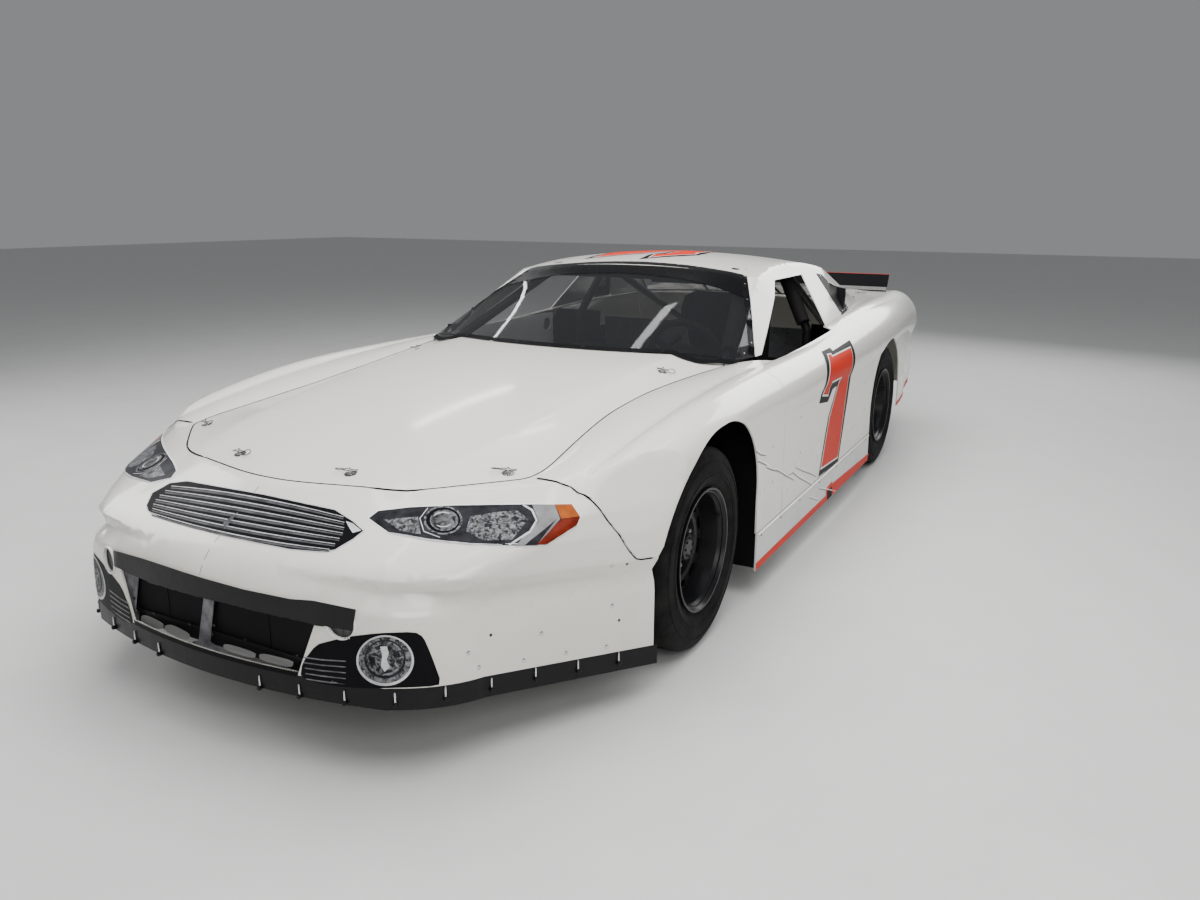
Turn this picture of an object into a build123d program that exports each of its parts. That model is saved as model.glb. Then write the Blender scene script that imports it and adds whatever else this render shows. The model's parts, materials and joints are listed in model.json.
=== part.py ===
from build123d import *
import os

# A short-track late-model stock car, in millimetres.
# The nose points to -Y, the car's left (the driver's side) is +X, and +Z is up.
# The origin is on the floor, in the middle of the length and the width.

# Driving dimensions
WHEELBASE = 2667.0
FRONT_AXLE_Y = -1308.0
REAR_AXLE_Y = FRONT_AXLE_Y + WHEELBASE
TRACK_HALF = 825.5
TYRE_RADIUS = 343.0
ROOF_HEIGHT = 1204.0
ROCKER_BOTTOM = 112.0
ROCKER_TOP = 262.0
SKIN = 6.0
GAP = 4.0
PANE = 5.0
TUBE_RADIUS = 22.0
CASTER_PIN_X = 660.0
RAIL_BOTTOM = 120.0
RAIL_DEPTH = 76.0

# Cross-sections of the body across its length, outer skin.
# columns: y, top at centre, (x, z) of the crease of the hood's bulge, (x, z) of the hood or deck edge,
# (x, z) of the crown, (x, z) of the widest point, (x, z) of the bottom edge
BODY_SECTIONS = [
    (-2520, 612, (300, 608), (640, 590), (800, 560), (985, 470), (985, 112)),
    (-2000, 728, (420, 722), (690, 692), (815, 672), (985, 540), (985, 112)),
    (-1550, 797, (488, 786), (648, 748), (820, 756), (987, 655), (987, 112)),
    (-1150, 840, (505, 828), (634, 790), (822, 796), (989, 716), (989, 112)),
    (-650, 868, (515, 858), (705, 818), (826, 818), (985, 665), (990, 112)),
    (200, 872, (560, 858), (760, 840), (858, 824), (978, 650), (992, 112)),
    (900, 888, (560, 877), (760, 868), (852, 862), (978, 650), (991, 112)),
    (1500, 900, (560, 895), (760, 890), (852, 884), (982, 690), (986, 112)),
    (2100, 906, (560, 903), (760, 900), (850, 890), (948, 680), (944, 112)),
    (2520, 908, (540, 905), (740, 902), (826, 890), (915, 670), (912, 112)),
]

# Plan outlines of the nose. They lie in planes that drop towards the rear by NOSE_SLOPE.
# The level is a plane's height at y = NOSE_LEVEL_Y. The hollow under the headlights is at level 462.
# columns: level, y at the centre, (x, y) where the front ends, (x, y) on the corner,
# (x, y) where the flat side starts, (x, y) where it ends
NOSE_SLOPE = 0.13
NOSE_LEVEL_Y = -2100.0
NOSE_SECTIONS = [
    (-250, -2490, (560, -2412), (655, -2325), (712, -2200), (1035, -1571)),
    (0, -2490, (560, -2412), (655, -2325), (712, -2200), (1035, -1571)),
    (250, -2488, (560, -2410), (655, -2323), (712, -2200), (1035, -1571)),
    (400, -2482, (560, -2404), (652, -2320), (712, -2198), (1035, -1571)),
    (430, -2478, (556, -2396), (646, -2312), (708, -2190), (1035, -1570)),
    (465, -2462, (540, -2364), (630, -2284), (702, -2162), (1035, -1562)),
    (502, -2434, (540, -2374), (652, -2308), (740, -2182), (1035, -1585)),
    (545, -2382, (505, -2325), (676, -2248), (776, -2130), (1035, -1582)),
    (590, -2325, (460, -2262), (695, -2176), (815, -2070), (1035, -1560)),
    (655, -2248, (430, -2172), (695, -2060), (862, -1925), (1035, -1500)),
    (710, -2182, (415, -2102), (690, -1985), (865, -1850), (1035, -1450)),
    (900, -2000, (400, -1920), (670, -1800), (860, -1650), (1035, -1300)),
    (1700, -1600, (380, -1520), (650, -1400), (850, -1250), (1035, -1000)),
]
# Plan outlines of the tail. columns: z, y at the centre, y on the corner
TAIL_SECTIONS = [
    (60, 2405, 2345),
    (210, 2440, 2382),
    (360, 2480, 2426),
    (570, 2482, 2428),
    (700, 2462, 2408),
    (1000, 2404, 2350),
]

# Side outlines of the arches, the valance and the seams, as (y, z) points
FRONT_ARCH = [(-1703, 455), (-1520, 648), (-1200, 744), (-960, 662), (-862, 400)]
REAR_ARCH = (1366.0, 325.0, 398.0)
COVER_BOTTOM = [(-2600, 266), (-2400, 266), (-1690, 174)]
VALANCE_BOTTOM = [(-2600, 206), (-2400, 206), (-1690, ROCKER_BOTTOM + 1)]
NOSE_SEAM = [(-1640, 450), (-1770, 462), (-1800, 500), (-1860, 600), (-1902, 690), (-2060, 900)]

# Front outline of the air inlet as (x, z) points, and the brake ducts beside it
INLET = [(322, 274), (392, 455)]
DUCT_CENTRE = (449, 424)
DUCT_RADIUS = 39.0


def box(x0, x1, y0, y1, z0, z1):
    """A block between two corners."""
    middle = ((x0 + x1) / 2, (y0 + y1) / 2, (z0 + z1) / 2)
    return Pos(*middle) * Box(abs(x1 - x0), abs(y1 - y0), abs(z1 - z0))


def prism_z(outline, z0, z1):
    """A plan outline of (x, y) points, raised from z0 to z1."""
    face = Face(Wire.make_polygon([(x, y, z0) for x, y in outline]))
    return Solid.extrude(face, Vector(0, 0, z1 - z0))


def prism_x(outline, x0, x1):
    """A side outline of (y, z) points, pulled from x0 to x1."""
    face = Face(Wire.make_polygon([(x0, y, z) for y, z in outline]))
    return Solid.extrude(face, Vector(x1 - x0, 0, 0))


def prism_y(outline, y0, y1):
    """A front outline of (x, z) points, pulled from y0 to y1."""
    face = Face(Wire.make_polygon([(x, y0, z) for x, z in outline]))
    return Solid.extrude(face, Vector(0, y1 - y0, 0))


def rod(start, end, radius):
    """A round bar between two points."""
    run = Vector(*end) - Vector(*start)
    return Solid.make_cylinder(radius, run.length, Plane(origin=start, z_dir=run))


def joined(shapes):
    """Touching shapes as one."""
    shapes = list(shapes)
    return Part() + shapes if len(shapes) > 1 else shapes[0]


def group(*shapes):
    """Separate solids kept side by side in one node."""
    return Compound([solid for shape in shapes for solid in shape.solids()])


def tubes(paths, radius):
    """Round tubes along polylines, with a ball at each bend, as one solid."""
    pieces = []
    for path in paths:
        pieces += [rod(start, end, radius) for start, end in zip(path, path[1:])]
        pieces += [Pos(*bend) * Sphere(radius) for bend in path[1:-1]]
    return joined(pieces)


def mirrored(shape):
    """The same shape on the car's other side."""
    return shape.mirror(Plane.YZ)


def flipped(point):
    """The point's mirror image on the car's other side."""
    return Vector(-point.X, point.Y, point.Z)


def body_outline(row, inset):
    """One closed cross-section of the body, drawn inset millimetres inside its skin."""
    y, top, (xr, zr), (xe, ze), (xc, zc), (xw, zw), (xb, zb) = row
    crease = Vector(xr, y, zr - inset)
    edge = Vector(xe - 0.3 * inset, y, ze - inset)
    crown = Vector(xc - inset, y, zc - inset)
    wide = Vector(xw - inset, y, zw)
    low = Vector(xb - inset, y, zb - 2 * inset)
    shoulder = Vector((xc + xw) / 2 + 0.3 * (xw - xc) - inset, y, (zc + zw) / 2 + 0.26 * (zc - zw) - inset)
    flank = Vector((xr + xe) / 2, y, (zr + ze) / 2 - 4 - inset)
    gutter = Vector((xe + xc) / 2 - inset, y, (ze + zc) / 2 + 6 - inset)
    left = [
        Edge.make_line(low, wide),
        Edge.make_three_point_arc(wide, shoulder, crown),
        Edge.make_three_point_arc(crown, gutter, edge),
        Edge.make_three_point_arc(edge, flank, crease),
    ]
    across = Edge.make_three_point_arc(crease, Vector(0, y, top - inset), flipped(crease))
    right = [
        Edge.make_three_point_arc(flipped(crease), flipped(flank), flipped(edge)),
        Edge.make_three_point_arc(flipped(edge), flipped(gutter), flipped(crown)),
        Edge.make_three_point_arc(flipped(crown), flipped(shoulder), flipped(wide)),
        Edge.make_line(flipped(wide), flipped(low)),
    ]
    return Wire(left + [across] + right + [Edge.make_line(flipped(low), low)])


def nose_outline(row, inset):
    """One closed plan outline that rounds the nose, open far behind, inset millimetres inside."""
    level, nose, (xa, ya), (xb, yb), (xc, yc), (xd, yd) = row

    def at(x, y):
        return Vector(x, y, level - 0.5 * inset + NOSE_SLOPE * (NOSE_LEVEL_Y - y))

    front = at(xa - 0.3 * inset, ya + inset)
    corner = at(xb - 0.7 * inset, yb + 0.7 * inset)
    side = at(xc - 0.9 * inset, yc + 0.4 * inset)
    side_end = at(xd - inset, yd)
    back = at(xd - inset, 2700)
    edges = [
        Edge.make_three_point_arc(flipped(front), at(0, nose + inset), front),
        Edge.make_three_point_arc(front, corner, side),
        Edge.make_line(side, side_end),
        Edge.make_line(side_end, back),
        Edge.make_line(back, flipped(back)),
        Edge.make_line(flipped(back), flipped(side_end)),
        Edge.make_line(flipped(side_end), flipped(side)),
        Edge.make_three_point_arc(flipped(side), flipped(corner), flipped(front)),
    ]
    return Wire(edges)


def tail_outline(row, inset):
    """One closed plan outline that rounds the tail, open far ahead, inset millimetres inside."""
    z, rear, corner_y = row
    z -= 0.5 * inset
    ahead = Vector(1035 - inset, -2800, z)
    side = Vector(1035 - inset, 2180, z)
    corner = Vector(925 - inset, corner_y - inset, z)
    end = Vector(800 - inset, rear - 22 - inset, z)
    edges = [
        Edge.make_line(ahead, side),
        Edge.make_three_point_arc(side, corner, end),
        Edge.make_three_point_arc(end, Vector(0, rear - inset, z), flipped(end)),
        Edge.make_three_point_arc(flipped(end), flipped(corner), flipped(side)),
        Edge.make_line(flipped(side), flipped(ahead)),
        Edge.make_line(flipped(ahead), ahead),
    ]
    return Wire(edges)


def lower_body(inset):
    """The body below the windows as a solid, inset millimetres inside its skin."""
    length = Solid.make_loft([body_outline(row, inset) for row in BODY_SECTIONS])
    nose = Solid.make_loft([nose_outline(row, inset) for row in NOSE_SECTIONS], ruled=True)
    tail = Solid.make_loft([tail_outline(row, inset) for row in TAIL_SECTIONS])
    return (Part() + length & Part() + nose) & Part() + tail


# Greenhouse: the windshield, side windows, roof and rear window form one tapering shape.
# columns: z, (x, y) of the front corner, y at the front centre, (x, y) of the rear corner,
# y at the rear centre
GREENHOUSE_SECTIONS = [
    (760, (890, -545), -1020, (866, 1960), 2030),
    (1150, (602, 130), 70, (594, 1080), 1130),
]
# Crown of the roof. columns: y, height at the centre, height at the sides
ROOF_SECTIONS = [
    (-1100, 1060, 1010),
    (130, 1166, 1128),
    (560, ROOF_HEIGHT, 1158),
    (1080, 1166, 1124),
    (2100, 1000, 960),
]
ROOF_SIDE_X = 620
WINDSHIELD_PLAN = [(-830, -446), (-700, -574), (-430, -735), (0, -790), (430, -735), (700, -574), (830, -446),
                   (570, 98), (-570, 98)]
REAR_WINDOW_PLAN = [(-540, 1160), (540, 1160), (690, 1720), (-690, 1720)]
DOOR_WINDOW_SIDE = [(-262, 832), (640, 850), (760, 1100), (300, 1100)]
QUARTER_WINDOW_SIDE = [(1005, 866), (1290, 892), (1096, 1082), (1000, 1092)]
BELT_HEIGHT = 826
COWL_Y = -700
DECK_FRONT_Y = 1600
DOOR_FRONT_Y = -560
DOOR_REAR_Y = 930
TAIL_SEAM_Y = 2130
HOOD_PLAN = [(0, -2236), (433, -2153), (600, -2000), (697, -1902), (651, -1582), (627, -1353), (635, -1099),
             (660, -915), (691, -723), (731, -505), (600, -566), (430, -638), (0, -704)]
# The opening under the greenhouse, a little inside the foot of its walls
CABIN_PLAN = [(0, -700), (430, -634), (600, -562), (735, -500), (846, -300), (846, 600), (792, 640), (780, 1000),
              (766, 1300), (754, 1560), (748, 1626), (0, 1688)]
DECK_HALF_WIDTH = 740


def greenhouse_outline(row, inset):
    """One level of the greenhouse, drawn inset millimetres inside."""
    z, (xf, yf), nose, (xr, yr), rear = row
    front = Vector(xf - inset, yf + inset, z)
    back = Vector(xr - inset, yr - inset, z)
    front_arc = Edge.make_three_point_arc(flipped(front), Vector(0, nose + 2.5 * inset, z), front)
    rear_arc = Edge.make_three_point_arc(back, Vector(0, rear - 2.5 * inset, z), flipped(back))
    sides = [Edge.make_line(front, back), Edge.make_line(flipped(back), flipped(front))]
    return Wire([front_arc, sides[0], rear_arc, sides[1]])


def roof_outline(row, inset):
    """One cross-section under the crowned roof."""
    y, centre, side = row
    corner = Vector(ROOF_SIDE_X, y, side - inset)
    foot = Vector(900, y, side - 420 - inset)
    floor = Vector(900, y, 300)
    return Wire([
        Edge.make_three_point_arc(flipped(corner), Vector(0, y, centre - inset), corner),
        Edge.make_line(corner, foot),
        Edge.make_line(foot, floor),
        Edge.make_line(floor, flipped(floor)),
        Edge.make_line(flipped(floor), flipped(foot)),
        Edge.make_line(flipped(foot), flipped(corner)),
    ])


def greenhouse(inset):
    """The upper body as a solid, inset millimetres inside its skin."""
    walls = Solid.make_loft([greenhouse_outline(row, inset) for row in stretched_up()], ruled=True)
    crown = Solid.make_loft([roof_outline(row, inset) for row in ROOF_SECTIONS])
    return Part() + walls & Part() + crown


def stretched_up():
    """The greenhouse levels with its slopes carried on past the roof."""
    low, high = GREENHOUSE_SECTIONS
    grow = 1.2

    def further(a, b):
        return a + grow * (b - a)

    z, (xf, yf), nose, (xr, yr), rear = low
    z2, (xf2, yf2), nose2, (xr2, yr2), rear2 = high
    top = (further(z, z2), (further(xf, xf2), further(yf, yf2)), further(nose, nose2),
           (further(xr, xr2), further(yr, yr2)), further(rear, rear2))
    return [low, top]


def front_arch():
    """The opening above a front wheel: upright ends and two arcs that meet at the top."""
    points = [Vector(640, y, z) for y, z in FRONT_ARCH]
    foot_ahead = Vector(640, points[0].Y, 0)
    foot_behind = Vector(640, points[4].Y, 0)
    face = Face(Wire([
        Edge.make_line(foot_ahead, points[0]),
        Edge.make_three_point_arc(points[0], points[1], points[2]),
        Edge.make_three_point_arc(points[2], points[3], points[4]),
        Edge.make_line(points[4], foot_behind),
        Edge.make_line(foot_behind, foot_ahead),
    ]))
    return Part() + Solid.extrude(face, Vector(460, 0, 0))


def rear_arch():
    """The opening above a rear wheel: a half circle on upright ends."""
    y, z, radius = REAR_ARCH
    dome = Solid.make_cylinder(radius, 460, Plane(origin=(640, y, z), z_dir=(1, 0, 0)))
    return Part() + dome + box(640, 1100, y - radius, y + radius, 0, z)


OUTER = Part() + lower_body(0).solids()
INNER = Part() + lower_body(SKIN).solids()


def skin_in(zone, *holes):
    """The stretch of the body's skin that lies in a zone, less any holes."""
    piece = (OUTER & zone) - INNER
    for hole in holes:
        piece -= hole
    return piece


def symmetric(outline):
    """A plan outline given for the left side, closed by its mirror image."""
    return outline + [(-x, y) for x, y in reversed(outline) if x > 0]


def body_panels():
    """The painted panels, cut from the skin of the lower body along their seams."""
    half_gap = GAP / 2
    arches = [front_arch(), mirrored(front_arch())]
    hood_zone = prism_z(symmetric([(x, y + half_gap) for x, y in HOOD_PLAN]), 560, 1000)
    ahead = [(-2600, NOSE_SEAM[-1][1])]
    nose_zone = prism_x(COVER_BOTTOM + [(-1640, 170)] + NOSE_SEAM + ahead, -1100, 1100)
    nose_past_seam = prism_x([(-2600, 0), (-1640 + half_gap, 0)]
                             + [(y + half_gap, z) for y, z in NOSE_SEAM] + ahead, -1100, 1100)
    inside = prism_z(symmetric(CABIN_PLAN), 640, 1000)
    deck_zone = box(-DECK_HALF_WIDTH, DECK_HALF_WIDTH, DECK_FRONT_Y, TAIL_SEAM_Y - half_gap, 700, 1000)
    (x_low, z_low), (x_high, z_high) = INLET
    inlet = prism_y([(x_low, z_low), (x_high, z_high), (-x_high, z_high), (-x_low, z_low)], -2600, -2300)
    duct = Solid.make_cylinder(DUCT_RADIUS, 300, Plane(origin=(DUCT_CENTRE[0], -2600, DUCT_CENTRE[1]),
                                                       z_dir=(0, 1, 0)))
    panels = {
        "hood": biggest(skin_in(hood_zone)),
        "nose_cover": biggest(skin_in(nose_zone, hood_zone, inlet, duct, mirrored(duct), *arches)),
        "deck_lid": biggest(skin_in(deck_zone, inside)),
        "tail_cover": biggest(skin_in(box(-1100, 1100, TAIL_SEAM_Y + half_gap, 2600, 300, 1000))),
    }
    rocker_span = (FRONT_ARCH[4][0] + 10, REAR_ARCH[0] - 300)
    # columns: panel, (first y, last y, lowest z, highest z), what is cut from it
    zones = [
        ("fender", (-2100, DOOR_FRONT_Y, ROCKER_TOP, 1000), (nose_past_seam, hood_zone, arches[0])),
        ("door", (DOOR_FRONT_Y, DOOR_REAR_Y, ROCKER_TOP, 1000), (inside, hood_zone)),
        ("quarter", (DOOR_REAR_Y, TAIL_SEAM_Y, ROCKER_TOP, 1000), (inside, deck_zone, rear_arch())),
        ("rocker", (*rocker_span, 40, ROCKER_TOP), (arches[0], rear_arch())),
    ]
    for name, (y0, y1, z0, z1), holes in zones:
        zone = box(420, 1100, y0 + half_gap, y1 - half_gap, z0 + half_gap, z1 - half_gap)
        panels[name + "_left"] = biggest(skin_in(zone, *holes))
        panels[name + "_right"] = mirrored(panels[name + "_left"])
    return panels


def front_valance():
    """The flexible black strip along the bottom of the nose."""
    top = [(y, z - 1) for y, z in COVER_BOTTOM]
    zone = prism_x(VALANCE_BOTTOM + top[::-1], -1100, 1100)
    return biggest((OUTER & zone) - INNER)


def upper_panels():
    """The roof with its pillars, and the panes set into it."""
    above_belt = box(-1000, 1000, -1200, 2200, BELT_HEIGHT + 6, 1300)
    body_top = Part() + lower_body(-2).solids()
    front = prism_z(WINDSHIELD_PLAN, 700, 1300)
    rear = prism_z(REAR_WINDOW_PLAN, 700, 1300)
    doors = prism_x(DOOR_WINDOW_SIDE, -1100, 1100)
    quarter = prism_x(QUARTER_WINDOW_SIDE, 100, 1100)
    outside = greenhouse(0) & above_belt
    inside = greenhouse(SKIN)
    roof = outside - inside - body_top
    for hole in (front, rear, doors, quarter, mirrored(quarter)):
        roof -= hole
    pane_outside = greenhouse(0.5) & above_belt
    pane_inside = greenhouse(PANE)
    quarter_pane = (pane_outside & quarter) - pane_inside - body_top
    return {
        "roof": biggest(roof),
        "windshield": biggest((pane_outside & front) - pane_inside - body_top),
        "rear_window": biggest((pane_outside & rear) - pane_inside - body_top),
        "quarter_window_left": biggest(quarter_pane),
        "quarter_window_right": mirrored(biggest(quarter_pane)),
    }


def biggest(shape):
    """The largest solid of a cut, without its slivers."""
    return max(shape.solids(), key=lambda solid: solid.volume)


# Wheels. The profiles are half sections of (distance across the wheel, radius).
TYRE_PROFILE = [(-127, 193), (-130, 212), (-143, 240), (-145, 275), (-136, 318), (-112, 340), (0, 343),
                (112, 340), (136, 318), (145, 275), (143, 240), (130, 212), (127, 193)]
RIM_BARREL = [(-139.5, 206.5), (-139.5, 200), (-112, 184), (-60, 172), (60, 172), (112, 184), (139.5, 200),
              (139.5, 206.5), (132, 206.5), (128, 191), (108, 190.5), (60, 179), (-60, 179), (-108, 190.5),
              (-128, 191), (-132, 206.5)]
RIM_DISC_X = 62.0
RIM_DISC = [(26, 0), (26, 84), (40, 96), (58, 104), (62, 116), (62, 160), (56, 174), (50, 174), (56, 158),
            (56, 118), (53, 109), (35, 101), (20, 87), (20, 0)]
VENT_COUNT = 10
VENT_RADIUS = 137.0
VENT_WIDTH = 24.0
VENT_LENGTH = 54.0
HUB_RADIUS = 44.0


def turned(profile, centre):
    """A ring turned about the wheel's axle from (across, radius) points, outer side towards +X."""
    x, y, z = centre
    face = Face(Wire.make_polygon([(x + across, y, z + radius) for across, radius in profile]))
    axle = Axis((x, y, z), (1, 0, 0))
    return Solid.revolve(face, 360, axle)


def tyre(centre):
    """A slick racing tyre with bulged sidewalls."""
    return turned(TYRE_PROFILE, centre)


def rim(centre):
    """A steel racing rim: barrel, stamped disc with oblong vents, and hub."""
    x, y, z = centre
    hub = rod((x + RIM_DISC_X - 60, y, z), (x + RIM_DISC_X + 14, y, z), HUB_RADIUS)
    wheel = joined([turned(RIM_BARREL, centre), turned(RIM_DISC, centre), hub])
    half_run = (VENT_LENGTH - VENT_WIDTH) / 2
    across = (x + RIM_DISC_X - 20, x + RIM_DISC_X + 20)
    height = z + VENT_RADIUS
    vent = joined([
        box(*across, y - half_run, y + half_run, height - VENT_WIDTH / 2, height + VENT_WIDTH / 2),
        rod((across[0], y - half_run, height), (across[1], y - half_run, height), VENT_WIDTH / 2),
        rod((across[0], y + half_run, height), (across[1], y + half_run, height), VENT_WIDTH / 2),
    ])
    for k in range(VENT_COUNT):
        wheel -= vent.rotate(Axis((x, y, z), (1, 0, 0)), 360 / VENT_COUNT * k)
    return wheel


def wheel_centre(side, y):
    return (side * TRACK_HALF, y, TYRE_RADIUS)


def wheels():
    """Four wheels, each a rim with its tyre."""
    pieces = {}
    for end, y in (("front", FRONT_AXLE_Y), ("rear", REAR_AXLE_Y)):
        left_tyre = tyre(wheel_centre(1, y))
        left_rim = rim(wheel_centre(1, y))
        pieces["tyre_" + end + "_left"] = left_tyre
        pieces["rim_" + end + "_left"] = left_rim
        pieces["tyre_" + end + "_right"] = mirrored(left_tyre)
        pieces["rim_" + end + "_right"] = mirrored(left_rim)
    return pieces


def coil_over(low, high):
    """A coil spring as its outer tube, on a damper with an eye at each end."""
    low, high = Vector(*low), Vector(*high)
    run = (high - low).normalized()
    damper = rod(low, high, 14)
    spring = rod(low + run * 50, high - run * 70, 32)
    return joined([damper, spring])


def running_gear():
    """Steering knuckles, front arms, and the live rear axle on its arms."""
    y, z, pin = FRONT_AXLE_Y, TYRE_RADIUS, CASTER_PIN_X
    upright = box(pin - 22, pin + 22, y - 30, y + 30, 215, 500)
    spindle = rod((pin, y, z), (TRACK_HALF - 1, y, z), 26)
    caliper = box(pin + 24, pin + 90, y + 90, y + 150, z - 70, z + 70)
    bracket = box(pin - 10, pin + 40, y, y + 100, z - 20, z + 20)
    steer_arm = box(pin - 16, pin + 16, y - 150, y, 235, 259)
    knuckle = joined([upright, spindle, caliper, bracket, steer_arm])
    lower_arm = tubes([[(pin - 4, y, 190), (432, y - 170, 170)], [(pin - 4, y, 190), (432, y + 170, 170)]], 16)
    lower = joined([lower_arm, box(545, 575, y - 78, y + 78, 172, 196)])
    upper = tubes([[(pin - 8, y, 523), (440, y - 110, 503)], [(pin - 8, y, 523), (440, y + 110, 503)]], 13)
    shock = coil_over((560, y + 10, 200), (432, y + 10, 575))
    rack = rod((-430, y - 225, 262), (430, y - 225, 262), 24)
    sway_bar = tubes([[(520, y - 190, 330), (520, y - 420, 300), (-520, y - 420, 300), (-520, y - 190, 330)]], 15)

    axle_y = REAR_AXLE_Y
    half = [(TRACK_HALF - 1, 0), (TRACK_HALF - 1, 26), (640, 26), (640, 38), (170, 38), (115, 115), (60, 148)]
    profile = half + [(-x, r) for x, r in reversed(half)]
    pinion = rod((0, axle_y - 260, z), (0, axle_y - 100, z), 62)
    rear_axle = joined([turned(profile, (0, axle_y, z)), pinion])
    trailing_arm = rod((570, axle_y - 33, z - 27), (570, axle_y - 320, 214), 15)
    rear_shock = coil_over((420, axle_y + 52, z - 14), (370, 1478, 664))
    return {
        "knuckle_left": knuckle,
        "knuckle_right": mirrored(knuckle),
        "front_suspension": group(lower, mirrored(lower), upper, mirrored(upper), shock, mirrored(shock),
                                  rack, sway_bar),
        "rear_axle": rear_axle,
        "rear_suspension": group(trailing_arm, mirrored(trailing_arm), rear_shock, mirrored(rear_shock)),
    }


# Roll cage tubes on the car's left side, repeated on the right. Each row is one tube's bends.
CAGE_SIDE_PATHS = [
    [(675, -560, 197), (690, -460, 800), (520, 190, 1110), (520, 800, 1120)],
    [(700, -500, 640), (675, 760, 640)],
    [(695, -520, 440), (675, 760, 440)],
    [(520, 800, 1120), (495, 2050, 620), (495, 2050, 292)],
    [(690, -460, 800), (395, -1150, 600), (395, -1900, 500), (395, -2050, 197)],
]
# Tubes that cross the car
CAGE_CROSS_PATHS = [
    [(675, 760, 197), (675, 760, 820), (520, 800, 1120), (-520, 800, 1120), (-675, 760, 820), (-675, 760, 197)],
    [(-520, 190, 1110), (520, 190, 1110)],
    [(-690, -460, 800), (690, -460, 800)],
    [(-675, 760, 640), (675, 760, 640)],
    [(-675, 760, 300), (520, 800, 1120)],
    [(-395, -1900, 500), (395, -1900, 500)],
    [(0, 190, 1110), (0, 800, 1120)],
]
# The hoop over the rear axle that carries the coil-overs
SHOCK_HOOP_PATH = [(-495, 1480, 440), (-400, 1480, 690), (400, 1480, 690), (495, 1480, 440)]
RAIL_WIDTH = 50.0


def rails():
    """The perimeter frame of square tube, kicked up over the rear axle."""
    low, high, width = RAIL_BOTTOM, RAIL_BOTTOM + RAIL_DEPTH, RAIL_WIDTH
    kick, tail_low = high + 254, low + 120
    pieces = []
    for side in (1, -1):
        front_turn = [(370, -900), (420, -900), (700, -640), (650, -610)]
        rear_turn = [(650, 890), (700, 920), (520, 1150), (470, 1120)]
        inner, outer = side * 470, side * (470 + width)
        pieces += [
            box(side * 370, side * (370 + width), -2080, -830, low, high),
            prism_z([(side * x, y) for x, y in front_turn], low, high),
            box(side * 650, side * (650 + width), -650, 930, low, high),
            prism_z([(side * x, y) for x, y in rear_turn], low, high),
            box(inner, outer, 1110, 1130, low, kick),
            box(inner, outer, 1110, 1640, kick - width, kick),
            box(inner, outer, 1620, 1640, tail_low, kick),
            box(inner, outer, 1620, 2300, tail_low, tail_low + width),
        ]
    # columns: half length, first y, last y, lowest z, highest z
    for half, y0, y1, z0, z1 in [(420, -2080, -2030, low, high), (700, -560, -510, low + 38, high),
                                 (700, 820, 870, low + 38, high), (520, 2250, 2300, tail_low, tail_low + width)]:
        pieces.append(box(-half, half, y0, y1, z0, z1))
    return joined(pieces)


def chassis():
    """Frame rails, roll cage, engine, drive line and fuel cell."""
    frame_rails = rails()
    sides = [[(side * x, y, z) for x, y, z in path] for side in (1, -1) for path in CAGE_SIDE_PATHS]
    cage = tubes(CAGE_CROSS_PATHS + sides, TUBE_RADIUS) - frame_rails
    hoop = tubes([SHOCK_HOOP_PATH], TUBE_RADIUS) - frame_rails
    gearbox = rod((0, -755, 330), (0, -300, 325), 105)
    shaft = rod((0, -300, 325), (0, REAR_AXLE_Y - 262, 352), 38)
    left_pipe = tubes([[(300, -1300, 330), (300, -760, 127), (560, -400, 127), (560, 640, 127)]], 28)
    return {
        "frame_rails": frame_rails,
        "roll_cage": group(cage, hoop),
        "engine_block": box(-250, 250, -1500, -760, 190, 640),
        "driveshaft": joined([gearbox, shaft]),
        "fuel_cell": box(-300, 300, 1750, 2180, 300, 640),
        "radiator": box(-320, 320, -2010, -1950, 210, 560),
        "exhaust_pipes": group(left_pipe, mirrored(left_pipe)),
    }


WHEEL_CENTRE = (300, 60, 740)
COLUMN_TILT = 18.0
SEAT_X = 300.0
SEAT_HALF_WIDTH = 205.0
SEAT_WALL = 5.0


def seat():
    """A racing seat: a bent tray between two contoured side walls with head supports."""
    wall, half = SEAT_WALL, SEAT_HALF_WIDTH
    tray = [(190, 262), (200, 244), (560, 236), (618, 280), (668, 1000), (668 - wall, 1000), (612, 284),
            (556, 236 + wall), (204, 244 + wall), (195, 262)]
    hip, rib, shoulder = [(184, 262), (230, 395), (430, 440)], [(500, 560), (470, 700)], [(530, 790), (600, 812)]
    arcs = [Vector(0, y, z) for y, z in hip + rib + shoulder]
    corners = [Vector(0, y, z) for y, z in [(600, 812), (480, 850), (470, 930), (520, 985), (676, 1004),
                                            (624, 274), (562, 230), (196, 238), (184, 262)]]
    outline = [Edge.make_three_point_arc(*arcs[k:k + 3]) for k in (0, 2, 4)]
    outline += [Edge.make_line(start, end) for start, end in zip(corners, corners[1:])]
    side = Solid.extrude(Face(Wire(outline)), Vector(wall, 0, 0))
    return joined([
        prism_x(tray, SEAT_X - half - 1, SEAT_X + half + 1),
        Pos(SEAT_X - half - wall, 0, 0) * side,
        Pos(SEAT_X + half, 0, 0) * side,
    ])


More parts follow.
